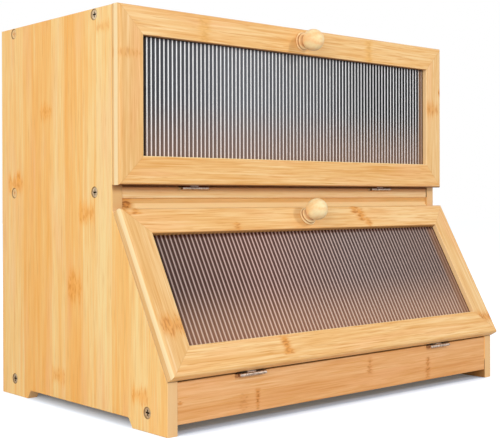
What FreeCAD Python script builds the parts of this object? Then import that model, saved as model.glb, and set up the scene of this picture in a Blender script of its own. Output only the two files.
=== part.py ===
"""Two-tier bamboo bread box with two fold-down doors, as a parametric FreeCAD document.

The origin is on the floor under the middle of the box, measured over the lower door's
bottom edge: +Z is up, the doors face -Y and the width runs along X. The upper door is upright. The
lower door lies on the slanted front edges of the side panels. Each door is a mitred frame
round a fluted pane and turns on two small butt hinges at its bottom edge.
"""

import FreeCAD, Part
import Sketcher

import os
import re

doc = FreeCAD.newDocument("bread_box")

# ---------------------------------------------------------------------------------------
# Driving dimensions, in millimetres. Counts and shares are plain numbers.
# ---------------------------------------------------------------------------------------
SIZES = {
    # carcass
    "overall_width": 400,
    "overall_height": 332,
    "base_depth": 253,          # side panels, back edge to front foot
    "upper_depth": 181,         # side panels, back edge to upright front edge
    "board_thickness": 10,
    "edge_ease": 0.8,           # small rounding on the panels' outline edges
    "slope_foot": 40.5,         # height of the slanted front edge's lower end
    "slope_drop": 19.5,         # its upper end, below the top of the middle shelf
    "floor_top": 20,
    "foot_length": 45.5,
    "foot_rise": 7.5,
    "foot_slant": 5,
    "foot_round": 3,
    "front_recess": 0.6,        # boards sit this far behind the side panels' front edges
    "front_board_foot": 8,
    "rail_recess": 2,
    "rail_drop": 22,
    "back_thickness": 5,
    "vent_radius": 4,
    "vent_spacing": 30,
    "vent_count": 5,
    "vent_drop": 24,            # vent row, below the panel above it
    # wood screws in the carcass
    "screw_radius": 2,
    "screw_head_radius": 4,
    "screw_length": 32,
    "screw_sink": 0.5,          # heads lie this far below the face
    "screw_front_inset": 25.5,
    "screw_back_inset": 23,
    "back_screw_radius": 1.5,
    "back_screw_head_radius": 2.8,
    "back_screw_length": 18,
    "back_screw_spread": 150,
    "cross_share": 0.6,         # half length of the cross recess, as a share of the head radius
    "cross_width_share": 0.3,
    "cross_depth_share": 0.6,   # of the head's height
    "screw_play": 0.05,
    "dowel_radius": 3,
    "dowel_length": 22,
    "dowel_seat": 6,            # how far a dowel goes into the side panel
    "dowel_pitch": 16,
    # doors
    "door_thickness": 10,
    "door_gap": 0.4,            # between a closed door and the front edges
    "sill_gap": 0.5,            # under a closed door's bottom edge
    "lower_head_gap": 2.86,     # lower door's top edge to the slanted edge's upper end
    "frame_width": 23.5,
    "door_round": 3,
    "pane_setback": 4.8,
    "pane_thickness": 2.4,
    "pane_lip": 5,
    "pane_play": 0.15,
    "flute_pitch": 4.3,
    "flute_height": 0.7,
    # knobs
    "collar_radius": 8.5,
    "collar_height": 3.4,
    "collar_round": 1,
    "neck_radius": 4.6,
    "ball_radius": 9.8,
    "ball_reach": 14.5,         # door face to the ball's centre
    "knob_bore_depth": 14,
    "knob_screw_radius": 2,
    "knob_screw_head_radius": 3.8,
    "knob_screw_length": 22,
    "knob_screw_sink": 0.3,
    # butt hinges
    "hinge_spread": 117,        # middle of the door to the middle of a hinge
    "hinge_length": 28,
    "leaf_reach": 9,            # pin axis to the free edge of a leaf
    "leaf_thickness": 1,
    "leaf_root": 3,             # pin axis to where the full-length leaf starts
    "leaf_hole_reach": 6,
    "leaf_hole_pitch": 16,
    "barrel_radius": 1.5,
    "pin_radius": 0.75,
    "pin_play": 0.05,
    "knuckle_play": 0.2,
    "mortise_play": 2.5,        # a mortise is this much longer than the hinge at each end
    "barrel_notch": 1.2,        # depth of the corner notch that clears a barrel
    "leaf_screw_radius": 1,
    "leaf_screw_head_radius": 1.9,
    "leaf_screw_length": 7,
    # magnetic catches
    "magnet_radius": 3,
    "magnet_length": 3,
    "magnet_spread": 150,
    "catch_drop": 8,            # lower catch, below the top of the slanted edge
}

# The shelf lies where both doors come out equally high: the upper one reaches from the shelf
# to the top and the lower one runs along the slanted edge.
FORMULAS = {
    "shelf_top": "=(overall_height + lower_head_gap + slope_foot + slope_drop) / 2"
                 " - (base_depth - upper_depth)^2"
                 " / (2 * (overall_height + lower_head_gap - slope_foot - slope_drop))",
    "slope_top": "=shelf_top - slope_drop",
}
CELLS = {**SIZES, **FORMULAS}

sheet = doc.addObject("Spreadsheet::Sheet", "sizes")
for row, (alias, content) in enumerate(CELLS.items(), start=1):
    sheet.set(f"A{row}", alias)
    sheet.set(f"B{row}", str(content))
    sheet.setAlias(f"B{row}", alias)
doc.recompute()

WORD = re.compile(r"[a-z_]+")
LEAN = "atan((base_depth - upper_depth) / (slope_top - slope_foot))"
RUN = "((base_depth - upper_depth) / (slope_top - slope_foot))"
SLOPE_LENGTH = f"((slope_top - slope_foot) / cos({LEAN}))"
# How far the lower door's rounded bottom edge stands out past the side panels' front feet.
DOOR_OVERHANG = (f"((door_gap + door_thickness - door_round) * cos({LEAN})"
                 f" - (sill_gap + door_round) * sin({LEAN}) + door_round)")
BACK = f"((base_depth + {DOOR_OVERHANG}) / 2)"
LOWER_FRONT = f"({BACK} - base_depth)"
UPPER_FRONT = f"({BACK} - upper_depth)"
INNER_WIDTH = "(overall_width - 2 * board_thickness)"
INNER_LEFT = "(board_thickness - overall_width / 2)"
SHELF_FOOT = "(shelf_top - board_thickness)"
RAIL_FOOT = "(shelf_top - board_thickness - rail_drop)"
DOOR_HEIGHT = "(overall_height - shelf_top - sill_gap)"
BARREL_PROUD = "(barrel_radius - leaf_thickness)"
PANE_EDGE = "(frame_width - pane_lip)"

# Directions for round pieces and screws, which are made along +Z.
TURNS = {
    "+x": FreeCAD.Rotation(FreeCAD.Vector(0, 1, 0), 90),
    "-x": FreeCAD.Rotation(FreeCAD.Vector(0, 1, 0), -90),
    "+y": FreeCAD.Rotation(FreeCAD.Vector(1, 0, 0), -90),
    "-y": FreeCAD.Rotation(FreeCAD.Vector(1, 0, 0), 90),
    "+z": FreeCAD.Rotation(),
    "-z": FreeCAD.Rotation(FreeCAD.Vector(1, 0, 0), 180),
}

nodes = []


# ---------------------------------------------------------------------------------------
# Helpers
# ---------------------------------------------------------------------------------------
def size(alias):
    """The number in the sheet's cell of that name."""
    return float(sheet.get(alias))


def bound(expression):
    """The expression as FreeCAD reads it, with each alias pointing at the sheet."""
    return WORD.sub(lambda word: f"sizes.{word[0]}" if word[0] in CELLS else word[0], str(expression))


def bind(item, properties):
    """Binds each named property of the item to its expression."""
    for name, expression in properties.items():
        item.setExpression(name, bound(expression))


def place(item, at, towards="+z"):
    """Turns the item from +Z to a direction and binds its place to three expressions."""
    item.Placement = FreeCAD.Placement(FreeCAD.Vector(), TURNS[towards])
    bind(item, {f"Placement.Base.{axis}": value for axis, value in zip("xyz", at)})
    return item


def block(name, lengths, at):
    """A box from its lowest corner."""
    item = doc.addObject("Part::Box", name)
    bind(item, dict(zip(("Length", "Width", "Height"), lengths)))
    return place(item, at)


def rod(name, radius, length, at=("0", "0", "0"), towards="+z"):
    """A round bar from the middle of its start face."""
    item = doc.addObject("Part::Cylinder", name)
    bind(item, {"Radius": radius, "Height": length})
    return place(item, at, towards)


def cone(name, start_radius, end_radius, length, at=("0", "0", "0"), towards="+z"):
    """A tapered bar from the middle of its start face."""
    item = doc.addObject("Part::Cone", name)
    bind(item, {"Radius1": start_radius, "Radius2": end_radius, "Height": length})
    return place(item, at, towards)


def joined(name, pieces):
    """One shape of several, as a fuse."""
    item = doc.addObject("Part::MultiFuse", name)
    item.Shapes = pieces
    return item


def cut(name, base, tools):
    """The base with every tool cut away."""
    item = doc.addObject("Part::Cut", name)
    item.Base = base
    item.Tool = tools[0] if len(tools) == 1 else joined(f"{name}_tools", tools)
    return item


def copies(name, master, places):
    """Copies of one master, each with its place and direction, as a group of solids."""
    links = []
    for index, (at, towards) in enumerate(places):
        link = doc.addObject("App::Link", f"{name}_{index}")
        link.LinkedObject = master
        links.append(place(link, at, towards))
    group = doc.addObject("Part::Compound", name)
    group.Links = links
    return group


def node(label, item):
    """Names a finished sub-part, which is written to a file of that name."""
    item.Label = label
    nodes.append(item)
    return item


def origin_plane(body, role):
    """The body's own base plane with that role."""
    return next(item for item in body.Origin.OriginFeatures if item.Role == role)


def pin(sketch, geometry, corner, across, up):
    """Holds a point of the sketch at two expressions from the sketch's origin."""
    for kind, axis, value in (("DistanceX", -2, across), ("DistanceY", -1, up)):
        if value == "0":
            sketch.addConstraint(Sketcher.Constraint("PointOnObject", geometry, corner, axis))
        else:
            start = 10.0 * (geometry + 1)
            index = sketch.addConstraint(Sketcher.Constraint(kind, -1, 1, geometry, corner, start))
            sketch.setExpression(f"Constraints[{index}]", bound(value))


def new_sketch(body, role, depth="0"):
    """A sketch on one of the body's planes, moved along that plane's normal."""
    sketch = body.newObject("Sketcher::SketchObject", f"{body.Name}_sketch")
    sketch.AttachmentSupport = (origin_plane(body, role), [""])
    sketch.MapMode = "FlatFace"
    if depth != "0":
        bind(sketch, {"AttachmentOffset.Base.z": depth})
    return sketch


def outline(body, role, points, depth="0"):
    """A closed straight-sided sketch through points, each a pair of expressions."""
    sketch = new_sketch(body, role, depth)
    count = len(points)
    for index in range(count):
        start = FreeCAD.Vector(10 * index, index % 2, 0)
        end = FreeCAD.Vector(10 * index + 10, (index + 1) % 2, 0)
        sketch.addGeometry(Part.LineSegment(start, end), False)
    for index in range(count):
        sketch.addConstraint(Sketcher.Constraint("Coincident", index, 2, (index + 1) % count, 1))
    for index, (across, up) in enumerate(points):
        pin(sketch, index, 1, across, up)
    return sketch


def pad(body, sketch, length):
    """Pads the sketch along its normal."""
    feature = body.newObject("PartDesign::Pad", f"{body.Name}_pad")
    feature.Profile = sketch
    bind(feature, {"Length": length})
    sketch.Visibility = False
    doc.recompute()
    return feature


def pocket(body, sketch, length):
    """Cuts the sketch's outline along its normal and checks that something was cut."""
    before = body.Shape.Volume
    feature = body.newObject("PartDesign::Pocket", f"{body.Name}_pocket")
    feature.Profile = sketch
    feature.Reversed = True
    bind(feature, {"Length": length})
    doc.recompute()
    if body.Shape.Volume > before - 1:
        raise RuntimeError(f"{feature.Name} cuts nothing")
    return feature


def ease(body, radius, wanted):
    """Rounds those edges of the body for which wanted(edge) is true."""
    doc.recompute()
    tip = body.Tip
    names = [f"Edge{i}" for i, edge in enumerate(tip.Shape.Edges, start=1) if wanted(edge)]
    feature = body.newObject("PartDesign::Fillet", f"{body.Name}_fillet")
    feature.Base = (tip, names)
    bind(feature, {"Radius": radius})
    doc.recompute()
    return feature


def near(first, second):
    """Whether two lengths are the same to a hundredth of a millimetre."""
    return abs(first - second) < 0.01


def eased_board(name, lengths, at):
    """A straight board whose two long front edges are slightly rounded."""
    body = doc.addObject("PartDesign::Body", name)
    box = body.newObject("PartDesign::AdditiveBox", f"{name}_box")
    bind(box, dict(zip(("Length", "Width", "Height"), lengths)))
    ease(body, "edge_ease", lambda edge: near(edge.BoundBox.YMax, 0) and edge.BoundBox.XLength > 1)
    return place(body, at)


def screw_master(name, radius, head_radius, length):
    """A countersunk wood screw with a cross recess, from the top of its head along +Z."""
    head_height = f"({head_radius} - {radius})"
    reach = f"(cross_share * {head_radius})"
    width = f"(cross_width_share * {head_radius})"
    depth = f"(cross_depth_share * {head_height})"
    solid = joined(f"{name}_solid", [
        cone(f"{name}_head", head_radius, radius, head_height),
        rod(f"{name}_shank", radius, f"{length} - {head_height}", ("0", "0", head_height)),
    ])
    recess = [
        block(f"{name}_slot_along", (f"2 * {reach}", width, depth), (f"-{reach}", f"-{width} / 2", "0")),
        block(f"{name}_slot_across", (width, f"2 * {reach}", depth), (f"-{width} / 2", f"-{reach}", "0")),
    ]
    return cut(name, solid, recess)


def screw_hole(name, radius, head_radius, length, sink, at, towards):
    """The countersunk hole for such a screw, from the face that it enters."""
    return joined(name, [
        cone(f"{name}_sink", f"{head_radius} + {sink} + screw_play", f"{radius} + screw_play",
             f"{head_radius} + {sink} - {radius}", at, towards),
        rod(f"{name}_bore", f"{radius} + screw_play", f"{length} + {sink} + screw_play", at, towards),
    ])


# ---------------------------------------------------------------------------------------
# Fasteners, dowels and magnets, each made once at the origin
# ---------------------------------------------------------------------------------------
carcass_screw = screw_master("carcass_screw", "screw_radius", "screw_head_radius", "screw_length")
back_screw = screw_master("back_screw", "back_screw_radius", "back_screw_head_radius", "back_screw_length")
leaf_screw = screw_master("leaf_screw", "leaf_screw_radius", "leaf_screw_head_radius", "leaf_screw_length")
knob_screw = screw_master("knob_screw", "knob_screw_radius", "knob_screw_head_radius", "knob_screw_length")
dowel = rod("dowel", "dowel_radius", "dowel_length")
magnet = rod("magnet", "magnet_radius", "magnet_length")

SIDES = {"left": (-1, "+x"), "right": (1, "-x")}
BACK_SCREW_Y = f"{BACK} - screw_back_inset"
UPPER_SCREW_Y = f"{UPPER_FRONT} + screw_front_inset"
LOWER_SCREW_Y = f"{LOWER_FRONT} + screw_front_inset"
LEVELS = {
    "top_panel": ("(overall_height - board_thickness / 2)", UPPER_SCREW_Y),
    "middle_shelf": ("(shelf_top - board_thickness / 2)", UPPER_SCREW_Y),
    "bottom_panel": ("(floor_top - board_thickness / 2)", LOWER_SCREW_Y),
}

level_holes = {level: [] for level in LEVELS}
side_holes = {side: [] for side in SIDES}
back_holes = []

for side, (sign, inward) in SIDES.items():
    places = []
    for level, (height, front_y) in LEVELS.items():
        for end, along in (("back", BACK_SCREW_Y), ("front", front_y)):
            hole = screw_hole(f"{side}_{level}_{end}_hole", "screw_radius", "screw_head_radius",
                              "screw_length", "screw_sink",
                              (f"{sign} * overall_width / 2", along, height), inward)
            side_holes[side].append(hole)
            level_holes[level].append(hole)
            places.append(((f"{sign} * (overall_width / 2 - screw_sink)", along, height), inward))
    node(f"side_screws_{side}", copies(f"side_screws_{side}", carcass_screw, places))

places = []
for level, (height, front_y) in LEVELS.items():
    for column in (-1, 0, 1):
        at = (f"{column} * back_screw_spread", BACK, height)
        hole = screw_hole(f"{level}_back_hole_{column + 1}", "back_screw_radius",
                          "back_screw_head_radius", "back_screw_length", "0", at, "-y")
        back_holes.append(hole)
        level_holes[level].append(hole)
        places.append((at, "-y"))
node("back_screws", copies("back_screws", back_screw, places))

DOWELS = {
    "front_board": [
        (f"{LOWER_FRONT} + front_recess + board_thickness / 2",
         f"(front_board_foot + slope_foot) / 2 + {row} * dowel_pitch / 2") for row in (-1, 1)
    ],
    "stop_rail": [
        (f"{UPPER_FRONT} + rail_recess + board_thickness / 2", f"{RAIL_FOOT} + rail_drop / 2"),
    ],
}
dowel_holes = {owner: [] for owner in DOWELS}
for owner, rows in DOWELS.items():
    places = []
    for side, (sign, inward) in SIDES.items():
        for row, (along, height) in enumerate(rows):
            at = (f"{sign} * (overall_width / 2 - board_thickness + dowel_seat)", along, height)
            hole = rod(f"{owner}_{side}_dowel_hole_{row}", "dowel_radius", "dowel_length", at, inward)
            dowel_holes[owner].append(hole)
            side_holes[side].append(hole)
            places.append((at, inward))
    node(f"{owner}_dowels", copies(f"{owner}_dowels", dowel, places))


# ---------------------------------------------------------------------------------------
# Side panels: one outline with a foot cut-out, an upright front edge above a slanted one
# ---------------------------------------------------------------------------------------
def side_panel(side):
    """A side panel, its outline measured from the front foot, with its screw holes."""
    body = doc.addObject("PartDesign::Body", f"side_panel_{side}_board")
    arch_front = "foot_length + foot_slant"
    arch_back = "base_depth - foot_length - foot_slant"
    profile = outline(body, "YZ_Plane", [
        ("0", "0"),
        ("foot_length", "0"),
        (arch_front, "foot_rise"),
        (arch_back, "foot_rise"),
        ("base_depth - foot_length", "0"),
        ("base_depth", "0"),
        ("base_depth", "overall_height"),
        ("base_depth - upper_depth", "overall_height"),
        ("base_depth - upper_depth", "slope_top"),
        ("0", "slope_foot"),
    ])
    pad(body, profile, "board_thickness")
    ends = (size("foot_length") + size("foot_slant"),
            size("base_depth") - size("foot_length") - size("foot_slant"))
    ease(body, "foot_round", lambda edge: edge.BoundBox.XLength > 1
         and near(edge.BoundBox.ZMax, size("foot_rise"))
         and any(near(edge.BoundBox.YMax, end) for end in ends))
    ease(body, "edge_ease", lambda edge: edge.BoundBox.XLength < 0.01)
    left_face = "-overall_width / 2" if side == "left" else "overall_width / 2 - board_thickness"
    place(body, (left_face, LOWER_FRONT, "0"))
    return node(f"side_panel_{side}", cut(f"side_panel_{side}", body, side_holes[side]))


for side in SIDES:
    side_panel(side)

# ---------------------------------------------------------------------------------------
# Hinge lines: the pin of each door, in the box's frame and in the door's own frame
# ---------------------------------------------------------------------------------------
LOWER_PIN_DROP = (f"((barrel_radius + (door_gap + {BARREL_PROUD}) * sin({LEAN})) / cos({LEAN}))")
PINS = {
    "upper": (f"({UPPER_FRONT} - door_gap - {BARREL_PROUD})", "(shelf_top - barrel_radius)"),
    "lower": (f"({LOWER_FRONT} - (door_gap + {BARREL_PROUD}) * cos({LEAN})"
              f" - {LOWER_PIN_DROP} * sin({LEAN}))", "(slope_foot - barrel_radius)"),
}
PIN_DROPS = {"upper": "(barrel_radius + sill_gap)", "lower": f"({LOWER_PIN_DROP} + sill_gap)"}


def mortises(door, top, front):
    """The shallow leaf pockets and barrel notches for a door's two hinges."""
    pin_y, pin_z = PINS[door]
    tools = []
    for column in (-1, 1):
        start = f"{column} * hinge_spread - hinge_length / 2 - mortise_play"
        length = "hinge_length + 2 * mortise_play"
        tools.append(block(f"{door}_leaf_pocket_{column + 1}",
                           (length, f"{pin_y} + leaf_reach + screw_play - {front}", "leaf_thickness"),
                           (start, front, f"{top} - leaf_thickness")))
        tools.append(block(f"{door}_barrel_notch_{column + 1}",
                           (length, "barrel_notch", "2 * barrel_radius + knuckle_play"),
                           (start, front, f"{top} - 2 * barrel_radius - knuckle_play")))
        for hole in (-1, 1):
            at = (f"{column} * hinge_spread + {hole} * leaf_hole_pitch / 2",
                  f"{pin_y} + leaf_hole_reach", top)
            tools.append(rod(f"{door}_fixed_leaf_bore_{column + 1}_{hole + 1}",
                             "leaf_screw_radius + screw_play", "leaf_screw_length + screw_play", at, "-z"))
    return tools


# ---------------------------------------------------------------------------------------
# Level panels between the sides, the front board, the stop rail and the back panel
# ---------------------------------------------------------------------------------------
FRONT_FACE = f"({UPPER_FRONT} + front_recess)"
BOARD_FACE = f"({LOWER_FRONT} + front_recess)"
BACK_FACE = f"({BACK} - back_thickness)"

top_magnet_holes = [
    rod(f"top_magnet_hole_{column + 1}", "magnet_radius + screw_play", "magnet_length",
        (f"{column} * magnet_spread", FRONT_FACE, "overall_height - board_thickness / 2"), "+y")
    for column in (-1, 1)
]
top_board = eased_board("top_board", (INNER_WIDTH, f"{BACK_FACE} - {FRONT_FACE}", "board_thickness"),
                        (INNER_LEFT, FRONT_FACE, "overall_height - board_thickness"))
node("top_panel", cut("top_panel", top_board, level_holes["top_panel"] + top_magnet_holes))

shelf_board = eased_board("shelf_board", (INNER_WIDTH, f"{BACK_FACE} - {FRONT_FACE}", "board_thickness"),
                          (INNER_LEFT, FRONT_FACE, SHELF_FOOT))
node("middle_shelf", cut("middle_shelf", shelf_board,
                         level_holes["middle_shelf"] + mortises("upper", "shelf_top", FRONT_FACE)))

floor_board = block("floor_board",
                    (INNER_WIDTH, f"{BACK_FACE} - {BOARD_FACE} - board_thickness", "board_thickness"),
                    (INNER_LEFT, f"{BOARD_FACE} + board_thickness", "floor_top - board_thickness"))
node("bottom_panel", cut("bottom_panel", floor_board, level_holes["bottom_panel"]))

sill_board = eased_board("sill_board", (INNER_WIDTH, "board_thickness", "slope_foot - front_board_foot"),
                         (INNER_LEFT, BOARD_FACE, "front_board_foot"))
node("front_board", cut("front_board", sill_board,
                        dowel_holes["front_board"] + mortises("lower", "slope_foot", BOARD_FACE)))

back_board = block("back_board",
                   (INNER_WIDTH, "back_thickness", "overall_height - floor_top + board_thickness"),
                   (INNER_LEFT, BACK_FACE, "floor_top - board_thickness"))
vents = []
for row, panel_foot in enumerate(("overall_height - board_thickness", SHELF_FOOT)):
    for column in range(int(size("vent_count"))):
        across = f"vent_spacing * {column} - vent_spacing * (vent_count - 1) / 2"
        vents.append(rod(f"vent_{row}_{column}", "vent_radius", "back_thickness",
                         (across, BACK_FACE, f"{panel_foot} - vent_drop"), "+y"))
node("back_panel", cut("back_panel", back_board, back_holes + vents))


def door_point(door, across, depth, up):
    """A point of a door's own frame as three expressions in the box's frame.

    The frame starts at the door's left bottom corner on its back face: across runs along
    the door's width, depth from its back face towards the inside and up along its height.
    """
    if door == "upper":
        base_y = f"({UPPER_FRONT} - door_gap)"
        base_z = "(shelf_top + sill_gap)"
        return (f"{across} - overall_width / 2", f"{base_y} + {depth}", f"{base_z} + {up}")
    base_y = f"({LOWER_FRONT} - door_gap * cos({LEAN}) + sill_gap * sin({LEAN}))"
    base_z = f"(slope_foot + door_gap * sin({LEAN}) + sill_gap * cos({LEAN}))"
    return (f"{across} - overall_width / 2",
            f"{base_y} + ({depth}) * cos({LEAN}) + ({up}) * sin({LEAN})",
            f"{base_z} - ({depth}) * sin({LEAN}) + ({up}) * cos({LEAN})")


def seat(item, door, across="0", depth="0", up="0", turn=0):
    """Puts an item on a door: turned about X by turn degrees, and by the door's lean."""
    angle = {"upper": f"{turn} deg", "lower": f"{turn} deg - {LEAN}"}[door]
    item.Placement = FreeCAD.Placement(FreeCAD.Vector(), FreeCAD.Rotation(FreeCAD.Vector(1, 0, 0), turn - 1))
    bind(item, {f"Placement.Base.{axis}": value
                for axis, value in zip("xyz", door_point(door, across, depth, up))})
    bind(item, {"Placement.Rotation.Angle": angle})
    return item


CATCH_HEIGHTS = {
    "upper": "(overall_height - board_thickness / 2 - shelf_top - sill_gap)",
    "lower": f"({SLOPE_LENGTH} - sill_gap - catch_drop)",
}
MAGNET_COLUMNS = [f"(overall_width / 2 + {column} * magnet_spread)" for column in (-1, 1)]

rail_body = doc.addObject("PartDesign::Body", "stop_rail_board")
rail_face = "base_depth - upper_depth + rail_recess"
rail_profile = outline(rail_body, "YZ_Plane", [
    (rail_face, SHELF_FOOT),
    (rail_face, f"slope_top + rail_recess / {RUN}"),
    (f"base_depth - upper_depth - (slope_top - {RAIL_FOOT}) * {RUN}", RAIL_FOOT),
    (f"{rail_face} + board_thickness", RAIL_FOOT),
    (f"{rail_face} + board_thickness", SHELF_FOOT),
])
pad(rail_body, rail_profile, INNER_WIDTH)
place(rail_body, (INNER_LEFT, LOWER_FRONT, "0"))
rail_magnet_holes = [
    seat(rod(f"rail_magnet_hole_{index}", "magnet_radius + screw_play", "magnet_length"),
         "lower", across, "door_gap", CATCH_HEIGHTS["lower"], -90)
    for index, across in enumerate(MAGNET_COLUMNS)
]
node("stop_rail", cut("stop_rail", rail_body, dowel_holes["stop_rail"] + rail_magnet_holes))

node("upper_catch_magnets", copies("upper_catch_magnets", magnet, [
    ((f"{column} * magnet_spread", FRONT_FACE, "overall_height - board_thickness / 2"), "+y")
    for column in (-1, 1)
]))
lower_catches = copies("lower_catch_magnets", magnet, [
    ((across, "door_gap", CATCH_HEIGHTS["lower"]), "+y") for across in MAGNET_COLUMNS
])
node("lower_catch_magnets", seat(lower_catches, "lower"))


# ---------------------------------------------------------------------------------------
# Butt hinges, made about their pin at the origin with the door leaf upright
# ---------------------------------------------------------------------------------------
def hinge_leaf(name, knuckles, along, across):
    """One leaf with its knuckles on the given thirds of the hinge's length.

    along is the direction from the pin to the leaf's free edge, and across is the
    direction from the pin to the leaf's face, which is tangent to the barrel.
    """
    third = "(hinge_length / 3)"
    inner = {along: "leaf_root", across: BARREL_PROUD}
    spans = {along: "leaf_reach - leaf_root", across: "leaf_thickness"}
    pieces = [block(f"{name}_plate", ("hinge_length", spans["y"], spans["z"]),
                    ("-hinge_length / 2", inner["y"], inner["z"]))]
    inner[along] = "0"
    spans[along] = "leaf_root"
    for index, (start, end) in enumerate(knuckles):
        at_x = f"{start} * {third}"
        length = f"{end} * {third} - {start} * {third}"
        if start > -1.5:
            at_x = f"{at_x} + knuckle_play / 2"
            length = f"{length} - knuckle_play / 2"
        if end < 1.5:
            length = f"{length} - knuckle_play / 2"
        pieces.append(block(f"{name}_tab_{index}", (length, spans["y"], spans["z"]),
                            (at_x, inner["y"], inner["z"])))
        pieces.append(rod(f"{name}_barrel_{index}", "barrel_radius", length, (at_x, "0", "0"), "+x"))
    holes = [rod(f"{name}_pin_bore", "pin_radius + pin_play", "hinge_length",
                 ("-hinge_length / 2", "0", "0"), "+x")]
    for side in (-1, 1):
        at = {along: "leaf_hole_reach", across: "barrel_radius"}
        holes.append(screw_hole(f"{name}_hole_{side + 1}", "leaf_screw_radius", "leaf_screw_head_radius",
                                "leaf_thickness", "0",
                                (f"{side} * leaf_hole_pitch / 2", at["y"], at["z"]), f"-{across}"))
    return cut(name, joined(f"{name}_solid", pieces), holes)


fixed_leaf = hinge_leaf("fixed_leaf", [(-1.5, -0.5), (0.5, 1.5)], "y", "z")
door_leaf = hinge_leaf("door_leaf", [(-0.5, 0.5)], "z", "y")
hinge_pin = rod("hinge_pin", "pin_radius", "hinge_length", ("-hinge_length / 2", "0", "0"), "+x")


# ---------------------------------------------------------------------------------------
# Doors, in their own frame
# ---------------------------------------------------------------------------------------
def frame_member(name, corners, outer_edge, inner_edge):
    """A mitred frame member: padded outline, pane groove, rounded front edges."""
    body = doc.addObject("PartDesign::Body", name)
    pad(body, outline(body, "XZ_Plane", corners), "door_thickness")
    low = PANE_EDGE
    right = f"overall_width - {PANE_EDGE}"
    high = f"{DOOR_HEIGHT} - {PANE_EDGE}"
    groove = outline(body, "XZ_Plane", [(low, low), (right, low), (right, high), (low, high)],
                     "door_thickness - pane_setback - pane_thickness - pane_play")
    pocket(body, groove, "pane_thickness + 2 * pane_play")
    ease(body, "door_round", lambda edge: near(edge.BoundBox.YMax, -size("door_thickness"))
         and outer_edge(edge.BoundBox))
    ease(body, "edge_ease", lambda edge: near(edge.BoundBox.YMax, -size("door_thickness"))
         and inner_edge(edge.BoundBox))
    ease(body, "edge_ease", lambda edge: near(edge.BoundBox.YMin, 0) and outer_edge(edge.BoundBox))
    return body


def fluted_pane(name):
    """A clear sheet with a flat back and rows of upright round reeds on its front."""
    door_height = size("overall_height") - size("shelf_top") - size("sill_gap")
    edge = size("frame_width") - size("pane_lip") + size("pane_play")
    back = size("pane_setback") + size("pane_thickness") - size("door_thickness")
    front = back - size("pane_thickness") + size("flute_height")
    width = size("overall_width") - 2 * edge
    pitch = size("flute_pitch")
    count = int(width // pitch)
    start = edge + (width - count * pitch) / 2
    points = [FreeCAD.Vector(x, y, edge) for x, y in
              ((start, front), (edge, front), (edge, back), (edge + width, back), (edge + width, front),
               (start + count * pitch, front))]
    edges = [Part.LineSegment(first, second).toShape() for first, second in zip(points, points[1:])]
    for index in range(count):
        left = FreeCAD.Vector(start + index * pitch, front, edge)
        crest = left + FreeCAD.Vector(pitch / 2, -size("flute_height"), 0)
        right = left + FreeCAD.Vector(pitch, 0, 0)
        edges.append(Part.Arc(left, crest, right).toShape())
    face = Part.Face(Part.Wire(Part.__sortEdges__(edges)))
    item = doc.addObject("Part::Feature", name)
    item.Shape = face.extrude(FreeCAD.Vector(0, 0, door_height - 2 * edge))
    return item


def turned_knob(name):
    """A turned knob about +Z: a rounded collar, a short neck and a ball, with a screw bore."""
    body = doc.addObject("PartDesign::Body", name)
    sketch = new_sketch(body, "XZ_Plane")
    bore = "knob_screw_radius + screw_play"
    neck_top = "ball_reach - sqrt(ball_radius * ball_radius - neck_radius * neck_radius)"
    points = [
        (bore, "knob_bore_depth"),
        (bore, "0"),
        ("collar_radius", "0"),
        ("collar_radius", "collar_height"),
        ("neck_radius", "collar_height"),
        ("neck_radius", neck_top),
    ]
    for index in range(len(points) - 1):
        start = FreeCAD.Vector(2 + index, 12 - index, 0)
        end = FreeCAD.Vector(3 + index, 11 - index, 0)
        sketch.addGeometry(Part.LineSegment(start, end), False)
    centre = FreeCAD.Vector(0, 14, 0)
    ball = Part.Circle(centre, FreeCAD.Vector(0, 0, 1), 10)
    arc = sketch.addGeometry(Part.ArcOfCircle(ball, -1.1, 1.57), False)
    axis = sketch.addGeometry(Part.LineSegment(FreeCAD.Vector(0, 24, 0), FreeCAD.Vector(0, 15, 0)), False)
    lid = sketch.addGeometry(Part.LineSegment(FreeCAD.Vector(0, 15, 0), FreeCAD.Vector(2, 15, 0)), False)
    for index in range(len(points) - 2):
        sketch.addConstraint(Sketcher.Constraint("Coincident", index, 2, index + 1, 1))
    for index, (across, up) in enumerate(points[:-1]):
        pin(sketch, index, 1, across, up)
    last = len(points) - 2
    pin(sketch, last, 2, *points[-1])
    pin(sketch, arc, 3, "0", "ball_reach")
    sketch.addConstraint(Sketcher.Constraint("Coincident", last, 2, arc, 1))
    sketch.addConstraint(Sketcher.Constraint("PointOnObject", arc, 2, -2))
    sketch.addConstraint(Sketcher.Constraint("Coincident", arc, 2, axis, 1))
    sketch.addConstraint(Sketcher.Constraint("Coincident", axis, 2, lid, 1))
    sketch.addConstraint(Sketcher.Constraint("Vertical", axis))
    sketch.addConstraint(Sketcher.Constraint("Horizontal", lid))
    sketch.addConstraint(Sketcher.Constraint("Coincident", lid, 2, 0, 1))
    turned = body.newObject("PartDesign::Revolution", f"{name}_revolution")
    turned.Profile = sketch
    turned.ReferenceAxis = (sketch, ["V_Axis"])
    turned.Angle = 360
    ease(body, "collar_round", lambda edge: near(edge.BoundBox.ZMin, size("collar_height"))
         and near(edge.BoundBox.XLength, 2 * size("collar_radius")))
    return body


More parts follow.
